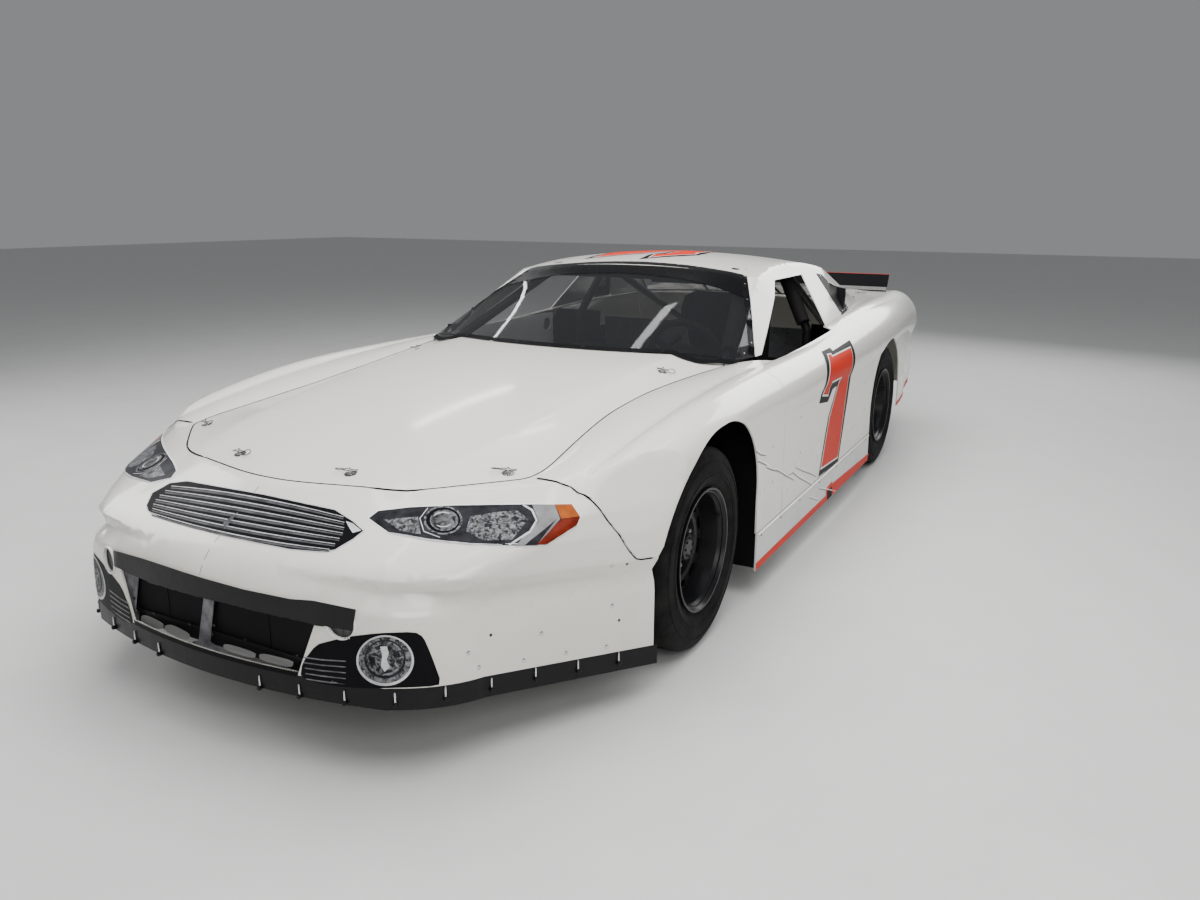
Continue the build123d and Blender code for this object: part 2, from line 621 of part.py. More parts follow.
def cabin():
    """Sheet-metal floor and tin, dash, seat and steering wheel."""
    firewall = box(-588, 588, -620, -617, 200, 770) - box(-125, 125, -700, -500, 100, 450)
    tin = joined([box(-640, -60, -290, 700, 420, 423), box(-63, -60, -290, 700, 201, 423)])
    dash = joined([box(-640, 640, -330, -327, 620, 774), box(-590, 590, -560, -327, 771, 774)])
    dash -= Pos(*WHEEL_CENTRE) * Rot(-(90 - COLUMN_TILT), 0, 0) * Pos(0, 0, -210) * Cylinder(26, 600)
    bulkhead = box(-640, 640, 1010, 1013, 201, 790) - box(-70, 70, 1000, 1020, 100, 460)
    return {
        "floor_pan": box(-640, 640, -500, 900, 198, 201),
        "firewall": firewall,
        "interior_tin": tin,
        "dash_panel": dash,
        "rear_bulkhead": bulkhead,
        "seat": seat(),
        "steering_wheel": steering_wheel(),
    }


def steering_wheel():
    """A dished wheel with three spokes and a padded boss, on its column."""
    ring = Torus(180, 15)
    spokes = [Rot(0, 0, angle) * Pos(90, 0, -12) * Box(190, 32, 4) for angle in (90, 210, 330)]
    boss = Pos(0, 0, -4) * Cylinder(62, 30)
    column = Pos(0, 0, -210) * Cylinder(16, 400)
    wheel = joined([ring, boss, column] + spokes)
    return Pos(*WHEEL_CENTRE) * Rot(-(90 - COLUMN_TILT), 0, 0) * wheel


SPOILER_HALF_WIDTH = 745.0
SPOILER_FOOT_Y = 2322.0
SPOILER_TOP = (2386.0, 1006.0)


def spoiler():
    """The blade across the tail, standing on the deck, with a foot along its base."""
    y, (top_y, top_z) = SPOILER_FOOT_Y, SPOILER_TOP
    blade = prism_x([(y - 10, 880), (y - 4, 880), (top_y, top_z), (top_y - 6, top_z + 2)],
                    -SPOILER_HALF_WIDTH, SPOILER_HALF_WIDTH)
    return biggest(Part() + blade - OUTER)


def all_pieces():
    pieces = {}
    for part in (body_panels, upper_panels, wheels, running_gear, chassis, cabin):
        pieces.update(part())
    pieces["front_valance"] = front_valance()
    pieces["spoiler"] = spoiler()
    return pieces


os.makedirs("parts", exist_ok=True)
for name, shape in all_pieces().items():
    export_step(shape, "parts/" + name + ".step")
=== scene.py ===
import json
import math
import random
import bpy
import bmesh
from mathutils import Matrix, Vector, geometry
from mathutils.bvhtree import BVHTree


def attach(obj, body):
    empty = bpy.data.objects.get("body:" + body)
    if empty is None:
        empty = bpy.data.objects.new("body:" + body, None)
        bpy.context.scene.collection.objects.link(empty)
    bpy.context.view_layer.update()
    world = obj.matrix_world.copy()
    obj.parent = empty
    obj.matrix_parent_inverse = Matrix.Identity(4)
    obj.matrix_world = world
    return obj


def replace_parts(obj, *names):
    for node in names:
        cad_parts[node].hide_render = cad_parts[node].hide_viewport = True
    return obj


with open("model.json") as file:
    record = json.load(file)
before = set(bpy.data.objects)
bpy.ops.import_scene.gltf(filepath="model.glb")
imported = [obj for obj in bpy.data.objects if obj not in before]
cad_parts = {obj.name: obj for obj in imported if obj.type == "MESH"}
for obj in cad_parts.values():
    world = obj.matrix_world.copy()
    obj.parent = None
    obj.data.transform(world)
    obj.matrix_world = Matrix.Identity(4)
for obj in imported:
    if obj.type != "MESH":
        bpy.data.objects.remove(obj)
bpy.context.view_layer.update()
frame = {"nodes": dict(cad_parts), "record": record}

MM = 0.001
# The car's axes: its left, its rear and its roof
ACROSS, REARWARD, UP = Vector((1, 0, 0)), Vector((0, 1, 0)), Vector((0, 0, 1))
FORWARD = -REARWARD
IMAGE_WIDTH, IMAGE_HEIGHT = 1200, 900

# The photograph's viewpoint, in metres and degrees
CAMERA_PLACE = Vector((2.020, -4.006, 1.429))
CAMERA_AZIMUTH = 28.21
CAMERA_PITCH = 14.6
CAMERA_ROLL = 0.3
CAMERA_LENS = 28.0
SENSOR_WIDTH = 36.0
# The lens's focal length in pixels
FOCAL = CAMERA_LENS / SENSOR_WIDTH * IMAGE_WIDTH


def camera_axes():
    """The camera's right, up and backward directions."""
    a, e, r = (math.radians(v) for v in (CAMERA_AZIMUTH, CAMERA_PITCH, CAMERA_ROLL))
    back = Vector((math.sin(a) * math.cos(e), -math.cos(a) * math.cos(e), math.sin(e)))
    right = (-back).cross(UP).normalized()
    up = right.cross(-back)
    return right * math.cos(r) + up * math.sin(r), up * math.cos(r) - right * math.sin(r), back


CAMERA_RIGHT, CAMERA_UP, CAMERA_BACK = camera_axes()


def add_object(name, data):
    """Links an object to the scene."""
    made = bpy.data.objects.new(name, data)
    bpy.context.scene.collection.objects.link(made)
    return made


def make_camera():
    """The photograph's camera, which the renders use."""
    data = bpy.data.cameras.new("camera")
    data.lens = CAMERA_LENS
    data.sensor_width = SENSOR_WIDTH
    data.clip_end = 60
    camera = add_object("camera", data)
    rotation = Matrix((CAMERA_RIGHT, CAMERA_UP, CAMERA_BACK)).transposed().to_4x4()
    camera.matrix_world = Matrix.Translation(CAMERA_PLACE) @ rotation
    bpy.context.scene.camera = camera


def pixel_ray(u, v):
    """Direction from the camera through a pixel of the 1200 by 900 picture."""
    x, y = (u - IMAGE_WIDTH / 2) / FOCAL, (IMAGE_HEIGHT / 2 - v) / FOCAL
    return (CAMERA_RIGHT * x + CAMERA_UP * y - CAMERA_BACK).normalized()


def pixel_of(place):
    """The pixel where a place appears."""
    way = place - CAMERA_PLACE
    zoom = FOCAL / -way.dot(CAMERA_BACK)
    across, up = zoom * way.dot(CAMERA_RIGHT), zoom * way.dot(CAMERA_UP)
    return IMAGE_WIDTH / 2 + across, IMAGE_HEIGHT / 2 - up


# Shader helpers

def new_material(name, sockets):
    """A material with values on its shader's sockets."""
    material = bpy.data.materials.new(name)
    material.use_nodes = True
    tree = material.node_tree
    shader = tree.nodes["Principled BSDF"]
    for socket, value in sockets.items():
        shader.inputs[socket].default_value = value
    return material, tree, shader


def add_node(tree, kind, **values):
    """A node with values on its inputs, or on itself where it has no such input."""
    node = tree.nodes.new(kind)
    for key, value in values.items():
        if key in node.inputs:
            node.inputs[key].default_value = value
        else:
            setattr(node, key, value)
    return node


def coordinates(tree):
    """The object's own coordinates."""
    return add_node(tree, "ShaderNodeTexCoord").outputs["Object"]


def noise_level(tree, scale, detail, roughness=0.5, distortion=0.0, place=None):
    """A noise over the object's own coordinates, or over a given place."""
    node = add_node(tree, "ShaderNodeTexNoise", Scale=scale, Detail=detail, Roughness=roughness,
                    Distortion=distortion)
    tree.links.new(place or coordinates(tree), node.inputs["Vector"])
    return node.outputs["Fac"]


def blend(tree, source, levels, first, second, target):
    """Feeds target with a colour that turns from first to second between two levels of a source."""
    node = add_node(tree, "ShaderNodeValToRGB")
    for element, level, colour in zip(node.color_ramp.elements, levels, (first, second)):
        element.position = level
        element.color = (*colour, 1)
    tree.links.new(source, node.inputs["Fac"])
    tree.links.new(node.outputs["Color"], target)


def ranged(tree, source, low, high, start=0.0, end=1.0):
    """A source's values from start to end, spread from low to high."""
    node = add_node(tree, "ShaderNodeMapRange",
                    **{"From Min": start, "From Max": end, "To Min": low, "To Max": high})
    tree.links.new(source, node.inputs["Value"])
    return node.outputs["Result"]


def relief(tree, shader, height, strength, distance):
    """Bumps in the surface from a height."""
    node = add_node(tree, "ShaderNodeBump", Strength=strength, Distance=distance)
    tree.links.new(height, node.inputs["Height"])
    tree.links.new(node.outputs["Normal"], shader.inputs["Normal"])


GLOSS_SPREAD = 0.08


def plain(name, colour, roughness=0.5, metallic=0.0, scale=40.0, vary=0.12, bump=0.1, coat=0.0,
          shine=0.5):
    """A surface with fine colour variation, uneven gloss and a little relief."""
    material, tree, shader = new_material(name, {"Metallic": metallic, "Coat Weight": coat,
                                                 "Specular IOR Level": shine})
    grain = noise_level(tree, scale, 6.0, 0.6)
    dark, light = ([min(1, c * (1 + step)) for c in colour] for step in (-vary, vary))
    blend(tree, grain, (0.3, 0.7), dark, light, shader.inputs["Base Color"])
    gloss = ranged(tree, grain, max(0.02, roughness - GLOSS_SPREAD),
                   min(1, roughness + GLOSS_SPREAD))
    tree.links.new(gloss, shader.inputs["Roughness"])
    if bump:
        relief(tree, shader, grain, bump, 0.001)
    return material


def glass(name, colour, alpha):
    """A tinted pane that lets light through."""
    return new_material(name, {"Base Color": (*colour, 1), "Alpha": alpha, "Roughness": 0.03,
                               "Specular IOR Level": 0.8})[0]


# Heights in metres where road dust begins and is thickest, and what it leaves of the paint's colour
DUST_TOP, DUST_BOTTOM = 0.62, 0.12
DUST_TINT = (0.62, 0.58, 0.53)


def body_paint(name, colour):
    """Gloss paint over moulded panels: slow waves, rubber dust low down and fine scuffs."""
    material, tree, shader = new_material(name, {"Coat Weight": 0.7, "Coat Roughness": 0.08})
    link = tree.links.new
    place = coordinates(tree)
    # Dust thickens towards the floor and is broken up by noise
    parts = add_node(tree, "ShaderNodeSeparateXYZ")
    link(place, parts.inputs["Vector"])
    dust = add_node(tree, "ShaderNodeMath", operation="MULTIPLY")
    link(ranged(tree, parts.outputs["Z"], 0.0, 0.75, DUST_TOP, DUST_BOTTOM), dust.inputs[0])
    link(noise_level(tree, 5.0, 7.0, 0.62), dust.inputs[1])
    # Fine scuffs: thin bands of a stretched noise
    stretch = add_node(tree, "ShaderNodeMapping", Scale=(9.0, 2.0, 14.0))
    link(place, stretch.inputs["Vector"])
    streaks = noise_level(tree, 7.0, 9.0, 0.7, 1.2, stretch.outputs["Vector"])
    total = add_node(tree, "ShaderNodeMath", operation="ADD", use_clamp=True)
    link(dust.outputs["Value"], total.inputs[0])
    blend(tree, streaks, (0.70, 0.78), (0, 0, 0), (0.35, 0.35, 0.35), total.inputs[1])
    worn = total.outputs["Value"]
    mix = add_node(tree, "ShaderNodeMix", data_type="RGBA")
    mix.inputs[6].default_value = (*colour, 1)
    mix.inputs[7].default_value = (*[c * tint for c, tint in zip(colour, DUST_TINT)], 1)
    link(worn, mix.inputs[0])
    link(mix.outputs[2], shader.inputs["Base Color"])
    link(ranged(tree, worn, 0.22, 0.55), shader.inputs["Roughness"])
    # Hand-laid panels are never quite flat
    relief(tree, shader, noise_level(tree, 3.5, 2.0), 0.25, 0.004)
    return material


def rubber(name):
    """Scrubbed slick: grey pick-up and fine pits on near-black rubber."""
    material, tree, shader = new_material(name, {"Roughness": 0.72, "Specular IOR Level": 0.12})
    blend(tree, noise_level(tree, 14.0, 10.0, 0.72), (0.42, 0.72), (0.0035, 0.0035, 0.0035),
          (0.016, 0.0155, 0.015), shader.inputs["Base Color"])
    relief(tree, shader, noise_level(tree, 160.0, 4.0), 0.4, 0.0012)
    return material


def perforated(name, metal, hole, scale, size):
    """Sheet with rows of small dark holes."""
    material, tree, shader = new_material(name, {"Roughness": 0.45, "Metallic": 0.5})
    cells = add_node(tree, "ShaderNodeTexVoronoi", Scale=scale, Randomness=0.0)
    tree.links.new(coordinates(tree), cells.inputs["Vector"])
    distance = cells.outputs["Distance"]
    blend(tree, distance, (size, size + 0.06), hole, metal, shader.inputs["Base Color"])
    relief(tree, shader, distance, 0.5, 0.002)
    return material


def mottled(name, dark, light, scale):
    """Print of a polished reflector: hard light and dark blotches."""
    material, tree, shader = new_material(name, {"Roughness": 0.3, "Specular IOR Level": 0.2})
    blend(tree, noise_level(tree, scale, 5.0, 0.65, 0.8), (0.42, 0.62), dark, light,
          shader.inputs["Base Color"])
    return material


WHITE = (0.80, 0.78, 0.715)
ORANGE = (0.60, 0.022, 0.006)

MATERIALS = {
    "body_paint": body_paint("white_paint", WHITE),
    "valance_black": plain("valance_plastic", (0.008, 0.008, 0.009), 0.36, bump=0.25, scale=18,
                           shine=0.15),
    "clear_pane": glass("clear_pane", (0.015, 0.016, 0.018), 0.34),
    "spoiler_smoke": plain("smoked_blade", (0.008, 0.008, 0.009), 0.3, shine=0.08, bump=0),
    "chassis_black": plain("chassis_paint", (0.010, 0.010, 0.011), 0.42, shine=0.2),
    "sheet_tin": plain("interior_tin_paint", (0.10, 0.102, 0.107), 0.5, vary=0.2),
    "raw_steel": plain("raw_steel", (0.30, 0.29, 0.28), 0.42, 0.9),
    "engine_iron": plain("engine_iron", (0.05, 0.05, 0.055), 0.6, 0.4),
    "cast_aluminium": plain("cast_aluminium", (0.45, 0.45, 0.46), 0.45, 0.9),
    "radiator_core": perforated("radiator_core", (0.12, 0.12, 0.125), (0.02, 0.02, 0.02), 90, 0.25),
    "seat_black": plain("seat_black", (0.014, 0.014, 0.015), 0.5, shine=0.3),
    "grip_black": plain("grip_black", (0.010, 0.010, 0.010), 0.85, shine=0.3),
    "tyre_rubber": rubber("tyre_rubber"),
    "rim_black": plain("rim_black", (0.006, 0.006, 0.007), 0.34, bump=0.05, shine=0.25),
}
# Finishes of the scene's own pieces
PRINT_BLACK = plain("print_black", (0.006, 0.006, 0.007), 0.4, bump=0, shine=0.04)
ROCKER_PAINT = body_paint("rocker_paint", (0.64, 0.65, 0.66))
PRINT_ORANGE = plain("print_orange", ORANGE, 0.42, vary=0.05, scale=9, bump=0, shine=0.07)
PRINT_WHITE = plain("print_white", (0.80, 0.79, 0.76), 0.4, vary=0.03, bump=0)
PRINT_GREY = plain("print_grey", (0.15, 0.15, 0.16), 0.35, vary=0.7, scale=22, bump=0, shine=0.2)
PRINT_DARK = plain("print_dark", (0.020, 0.020, 0.024), 0.35, vary=0.7, scale=30, bump=0, shine=0.1)
LAMP_SILVER = mottled("lamp_silver", (0.010, 0.010, 0.012), (0.24, 0.24, 0.25), 85)
LAMP_SMOKE = mottled("lamp_smoke", (0.006, 0.006, 0.007), (0.16, 0.16, 0.17), 38)
BAR_GREY = plain("bar_grey", (0.075, 0.075, 0.08), 0.4, vary=0.5, scale=22, bump=0, shine=0.1)
DIVIDER_GREY = plain("divider_grey", (0.20, 0.20, 0.205), 0.35, vary=0.3, scale=20, bump=0,
                     shine=0.2)
PRINT_SILVER = plain("print_silver", (0.55, 0.55, 0.56), 0.35, vary=0.25, scale=30, bump=0)
PRINT_LIGHT = plain("print_light", (0.88, 0.88, 0.89), 0.35, vary=0.06, bump=0)
PRINT_AMBER = plain("print_amber", (0.34, 0.078, 0.010), 0.35, vary=0.3, scale=30, bump=0,
                    shine=0.1)
PRINT_RED = plain("print_red", (0.15, 0.016, 0.007), 0.35, vary=0.35, scale=30, bump=0, shine=0.1)
TAPE = plain("cloth_tape", (0.009, 0.009, 0.010), 0.42, bump=0.5, scale=60, shine=0.2)
BLACK_SHEET = plain("black_sheet", (0.004, 0.004, 0.0045), 0.6, bump=0.1, shine=0.1)
BRIGHT = plain("bright_steel", (0.62, 0.62, 0.62), 0.22, 1.0, bump=0.05)
DARK_WIRE = plain("dark_wire", (0.04, 0.04, 0.04), 0.35, 0.8, bump=0)
SPRING = plain("spring_paint", (0.015, 0.02, 0.08), 0.35, coat=0.3)
CALIPER = plain("caliper_gold", (0.36, 0.24, 0.05), 0.35, 0.7)
DISC = plain("brake_disc", (0.20, 0.19, 0.18), 0.35, 0.9, scale=90, vary=0.25)
LIGHT_TIN = plain("light_tin", (0.42, 0.43, 0.44), 0.45, vary=0.08)
MESH_GREY = perforated("mesh_grey", (0.50, 0.50, 0.49), (0.10, 0.10, 0.10), 170, 0.28)
MESH_BLACK = perforated("mesh_black", (0.09, 0.09, 0.09), (0.003, 0.003, 0.003), 170, 0.30)
PADDING = plain("foam_padding", (0.011, 0.011, 0.011), 0.8, bump=0.5, scale=120, shine=0.3)
CUSHION = plain("cushion_cloth", (0.014, 0.014, 0.016), 0.85, bump=0.6, scale=300, shine=0.3)
WEBBING = plain("belt_webbing", (0.016, 0.016, 0.018), 0.7, bump=0.6, scale=400, shine=0.3)
SMOKE = plain("sun_strip", (0.004, 0.004, 0.0045), 0.25, bump=0, shine=0.08)
# Painted highlight along the door's scrapes, and the painted shadow below them
SCRAPE_HIGHLIGHT = plain("scrape_highlight", (0.92, 0.92, 0.90), 0.2, bump=0.1, scale=60)
SCRAPE_SHADE = plain("scrape_shade", (0.20, 0.19, 0.17), 0.5, bump=0, shine=0.2)
DIAL = plain("dial_face", (0.55, 0.55, 0.53), 0.35, bump=0)
# The CAD's material slot for pieces in some of those finishes
FINISH_SLOTS = {"bright_steel": "raw_steel", "dark_wire": "raw_steel", "brake_disc": "raw_steel",
                "caliper_gold": "cast_aluminium", "spring_paint": "chassis_black",
                "dial_face": "chassis_black", "cushion_cloth": "seat_black",
                "belt_webbing": "seat_black", "mesh_grey": "sheet_tin", "light_tin": "sheet_tin",
                "mesh_black": "valance_black", "sun_strip": "spoiler_smoke"}
SLOTS = {row["node"]: row["material_slot"] for row in frame["record"]["subparts"]}


def dress_nodes():
    """Every CAD node takes the finish of its material slot."""
    for name, node in frame["nodes"].items():
        node.data.materials.clear()
        paint = ROCKER_PAINT if name.startswith("rocker") else MATERIALS[SLOTS[name]]
        node.data.materials.append(paint)


# Mesh helpers. Outlines and places are in millimetres or pixels, meshes in metres.

CHASSIS = "chassis"
SKIN_NODES = ["nose_cover", "front_valance", "hood", "fender_left", "fender_right", "door_left",
              "door_right", "rocker_left", "rocker_right", "quarter_left", "quarter_right",
              "deck_lid", "tail_cover", "roof", "windshield", "rear_window", "quarter_window_left",
              "quarter_window_right"]


def tree_of(names):
    """A search tree over CAD nodes, for casting rays."""
    verts, faces = [], []
    for name in names:
        node = frame["nodes"][name]
        base = len(verts)
        verts += [node.matrix_world @ v.co for v in node.data.vertices]
        faces += [[base + i for i in face.vertices] for face in node.data.polygons]
    return BVHTree.FromPolygons(verts, faces)


SKIN = tree_of(SKIN_NODES)

# Views: each turns a 2-D point into the start and direction of a ray

SLANT = Vector((-0.82, 0, -0.57)).normalized()


def seen(point):
    return CAMERA_PLACE, pixel_ray(*point)


def front(point):
    return Vector((point[0] * MM, -4, point[1] * MM)), REARWARD


def left(point):
    return Vector((3, point[0] * MM, point[1] * MM)), -ACROSS


def right(point):
    return mirrored_ray(left(point))


def left_slant(point):
    """From the left, looking down at the shoulder as well as the side."""
    across = SLANT.cross(REARWARD)
    return REARWARD * point[0] * MM + across * point[1] * MM - SLANT * 3, SLANT


def right_slant(point):
    return mirrored_ray(left_slant(point))


def slanted(place):
    """A place's 2-D point in the slanted view of the left side."""
    return place.y / MM, place.dot(SLANT.cross(REARWARD)) / MM


def mirrored_ray(ray):
    return mirrored(ray[0]), mirrored(ray[1])


def above(point):
    return Vector((point[0] * MM, point[1] * MM, 3)), -UP


def back(point):
    return Vector((point[0] * MM, 4, point[1] * MM)), FORWARD


def box(x0, x1, y0, y1):
    """The outline of an upright rectangle."""
    return [(x0, y0), (x1, y0), (x1, y1), (x0, y1)]


def edges_of(outline):
    """The pairs of points that a closed outline joins."""
    return zip(outline, outline[1:] + outline[:1])


def angles(count, shift=0.0):
    """Equal steps of a full turn."""
    return [2 * math.pi * (k + shift) / count for k in range(count)]


def turned(side, up, angle):
    """The direction at an angle from side towards up."""
    return side * math.cos(angle) + up * math.sin(angle)


def at(x, y, z):
    return Vector((x, y, z)) * MM


def inside(point, outline):
    """True if a 2-D point lies in a closed outline."""
    x, y = point
    odd = False
    for (x0, y0), (x1, y1) in edges_of(outline):
        if (y0 > y) != (y1 > y) and x < (x1 - x0) * (y - y0) / (y1 - y0) + x0:
            odd = not odd
    return odd


def rounded(outline, turns=2):
    """A closed outline with its corners cut back, which rounds them."""
    for _ in range(turns):
        outline = [(a * x0 + b * x1, a * y0 + b * y1) for (x0, y0), (x1, y1) in edges_of(outline)
                   for a, b in ((0.8, 0.2), (0.2, 0.8))]
    return outline


def shrunk(outline, margin):
    """A closed outline moved inwards by a margin."""
    area = sum(x0 * y1 - x1 * y0 for (x0, y0), (x1, y1) in edges_of(outline))
    sign = 1 if area > 0 else -1
    moved = []
    for k, here in enumerate(outline):
        p, q, r = Vector(outline[k - 1]), Vector(here), Vector(outline[(k + 1) % len(outline)])
        a, b = (q - p).normalized(), (r - q).normalized()
        na, nb = Vector((-a.y, a.x)) * sign, Vector((-b.y, b.x)) * sign
        bisector = (na + nb).normalized()
        reach = margin / max(0.35, bisector.dot(na))
        moved.append(tuple(q + bisector * reach))
    return moved


def ellipse(x, y, across, tall, count=28):
    """An upright ellipse's outline, from its centre and its two half lengths."""
    return [(x + across * math.cos(a), y + tall * math.sin(a)) for a in angles(count)]


def strip(path, width, taper=1.0):
    """The outline of a band along a 2-D path."""
    sides = ([], [])
    for k, here in enumerate(path):
        before, after = Vector(path[max(0, k - 1)]), Vector(path[min(len(path) - 1, k + 1)])
        run = (after - before).normalized()
        half = width / 2 * (taper + (1 - taper) * math.sin(math.pi * (k + 0.5) / len(path)))
        side = Vector((-run.y, run.x)) * half
        sides[0].append(tuple(Vector(here) + side))
        sides[1].append(tuple(Vector(here) - side))
    return sides[0] + sides[1][::-1]


def curve(a, b, c, count=8):
    """Points along a parabola through three 2-D points."""
    points = []
    for k in range(count + 1):
        t = k / count
        wa, wb, wc = (1 - t) * (1 - 2 * t), 4 * t * (1 - t), t * (2 * t - 1)
        points.append(tuple(wa * p + wb * q + wc * r for p, q, r in zip(a, b, c)))
    return points


def link_mesh(name, mesh, finish, ride=CHASSIS, slot=None, smooth=None):
    """Puts a finished bmesh into the scene as a piece that rides on a body.

    finish is a material, or the name of the CAD's slot whose material the piece takes."""
    if isinstance(finish, str):
        finish, slot = MATERIALS[finish], finish
    bmesh.ops.recalc_face_normals(mesh, faces=mesh.faces)
    data = bpy.data.meshes.new(name)
    mesh.to_mesh(data)
    mesh.free()
    data.materials.append(finish)
    if smooth:
        data.shade_smooth()
        data.set_sharp_from_angle(angle=math.radians(smooth))
    piece = add_object(name, data)
    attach(piece, ride)
    slot = slot or FINISH_SLOTS.get(finish.name)
    return piece


# Where one point of a sheet lies this much deeper than its neighbours, in metres, it takes theirs
DRAPE_STEP = 0.03


def sheet_points(outline, spacing):
    """A closed outline's points at even steps, and a grid of points inside it."""
    dense = []
    for p, q in edges_of(outline):
        steps = max(1, math.ceil(math.dist(p, q) / spacing))
        dense += [(p[0] + (q[0] - p[0]) * k / steps, p[1] + (q[1] - p[1]) * k / steps)
                  for k in range(steps)]
    core = shrunk(outline, 0.45 * spacing)
    xs, ys = [p[0] for p in outline], [p[1] for p in outline]
    inner = []
    for i in range(int((max(xs) - min(xs)) / spacing) + 1):
        for j in range(int((max(ys) - min(ys)) / spacing) + 1):
            p = (min(xs) + (i + 0.5) * spacing, min(ys) + (j + 0.5) * spacing)
            if inside(p, outline) and inside(p, core):
                inner.append(p)
    return dense, inner


def drape(mesh, outline, view, lift, spacing, thickness, tree):
    """Adds a thin closed sheet to mesh: an outline in one view, cast onto the body's skin."""
    dense, inner = sheet_points(outline, spacing)
    points = [Vector(p) for p in dense + inner]
    found, _, faces, *_ = geometry.delaunay_2d_cdt(points, [], [list(range(len(dense)))], 1, 1e-5)
    hits = []
    for p in found:
        start, way = view(p)
        _, normal, _, depth = tree.ray_cast(start, way)
        hits.append((start, way, normal, depth))
    depths = sorted(h[3] for h in hits if h[3] is not None)
    if not depths:
        return
    faces = [face for face in faces if sum(hits[k][3] is None for k in face) < 2]
    around = {k: set() for k in range(len(found))}
    for face in faces:
        for k in face:
            around[k].update(face)
    tops, bottoms = {}, {}
    for k, (start, way, _, depth) in enumerate(hits):
        if not around[k]:
            continue
        near = sorted(hits[n][3] for n in around[k] if hits[n][3] is not None)
        middle = near[len(near) // 3] if near else depths[len(depths) // 2]
        if depth is None or depth > middle + DRAPE_STEP:
            depth = middle
        normals = [hits[n][2] for n in around[k] if hits[n][2] is not None]
        facing = [normal for normal in normals if normal.dot(way) < -0.05]
        mean = sum(facing, Vector((0, 0, 0))).normalized() if facing else -way
        place = start + way * depth
        tops[k] = mesh.verts.new(place + mean * lift * MM)
        bottoms[k] = mesh.verts.new(place + mean * (lift - thickness) * MM)
    sides = {}
    for face in faces:
        mesh.faces.new([tops[k] for k in face])
        mesh.faces.new([bottoms[k] for k in reversed(face)])
        for a, b in zip(face, face[1:] + face[:1]):
            sides[(a, b)] = True
    for a, b in sides:
        if (b, a) not in sides:
            mesh.faces.new([tops[b], tops[a], bottoms[a], bottoms[b]])


def decal(name, outlines, view, finish, lift=0.9, spacing=20.0, both=False, thickness=0.5,
          tree=SKIN):
    """One piece of thin sheets laid on the body, and its mirror image if both sides have it."""
    mesh = bmesh.new()
    for outline in outlines:
        drape(mesh, outline, view, lift, spacing, thickness, tree)
    if both:
        twin = mesh.copy()
        for vert in twin.verts:
            vert.co.x = -vert.co.x
        bmesh.ops.reverse_faces(twin, faces=twin.faces)
        link_mesh(name + "_right", twin, finish, smooth=40)
        name += "_left"
    link_mesh(name, mesh, finish, smooth=40)


def frame_along(run):
    """Two directions square to a run."""
    run = run.normalized()
    side = run.cross(UP if abs(run.z) < 0.9 else REARWARD).normalized()
    return side, run.cross(side).normalized()


def skin_rings(mesh, rings, closed=False):
    """Joins rings of points, and caps the ends unless they close on themselves."""
    made = [[mesh.verts.new(p) for p in ring] for ring in rings]
    count = len(made[0])
    for a, b in list(zip(made, made[1:])) + ([(made[-1], made[0])] if closed else []):
        for k in range(count):
            n = (k + 1) % count
            mesh.faces.new((a[k], a[n], b[n], b[k]))
    if not closed:
        mesh.faces.new(made[0][::-1])
        mesh.faces.new(made[-1])


def tube(mesh, path, radius, sides=8, closed=False):
    """A round bar along a path given in metres, with a radius in millimetres."""
    rings = []
    side = None
    count = len(path)
    for k, here in enumerate(path):
        before = path[k - 1] if k or closed else here
        after = path[(k + 1) % count] if k + 1 < count or closed else here
        run = (after - before).normalized()
        if side is None:
            side, _ = frame_along(run)
        side = (side - run * side.dot(run)).normalized()
        up = run.cross(side)
        rings.append([here + turned(side, up, a) * radius * MM for a in angles(sides)])
    skin_rings(mesh, rings, closed)


def lathe(mesh, profile, place, way, sides=20):
    """A turned shape: (along, radius) points in millimetres about an axle through place."""
    way = way.normalized()
    side, up = frame_along(way)
    skin_rings(mesh, [[place + way * along * MM + turned(side, up, a) * radius * MM
                       for a in angles(sides)] for along, radius in profile])


def turned_ring(mesh, profile, place, way, sides=32):
    """A closed ring turned from a loop of (along, radius) points."""
    way = way.normalized()
    side, up = frame_along(way)
    skin_rings(mesh, [[place + way * along * MM + turned(side, up, a) * radius * MM
                       for along, radius in profile] for a in angles(sides)], closed=True)


def slab(mesh, outline, place, across, tall, depth):
    """A flat plate: a 2-D outline in millimetres in the plane of two directions, with a depth."""
    across, tall = across.normalized(), tall.normalized()
    out = across.cross(tall)
    low = [place + (across * u + tall * v) * MM for u, v in outline]
    skin_rings(mesh, [low, [p + out * depth * MM for p in low]])


def block(mesh, x0, x1, y0, y1, z0, z1):
    """A box between two corners in millimetres."""
    slab(mesh, box(x0, x1, y0, y1), at(0, 0, z0), ACROSS, REARWARD, z1 - z0)


def softened(piece, width, segments=2):
    """Rounds a piece's edges."""
    bevel = piece.modifiers.new("edges", "BEVEL")
    bevel.width = width * MM
    bevel.segments = segments
    bevel.limit_method = "ANGLE"


def touch(point, view):
    """Where a ray of a view meets the skin, and the normal there."""
    place, normal, _, _ = SKIN.ray_cast(*view(point))
    return place, normal


def both_sides(place, normal):
    """A place and its normal, and their mirror image."""
    return [(place, normal), (mirrored(place), mirrored(normal))]


def edge_points(starts, step, view, tree, count=250):
    """Marches from each start by a 2-D step until a ray meets the tree, and lists those places."""
    found = []
    for x, y in starts:
        for k in range(count):
            point = (x + step[0] * k, y + step[1] * k)
            if tree.ray_cast(*view(point))[0] is not None:
                found.append(point)
                break
    return found


def mirrored(v):
    return Vector((-v.x, v.y, v.z))


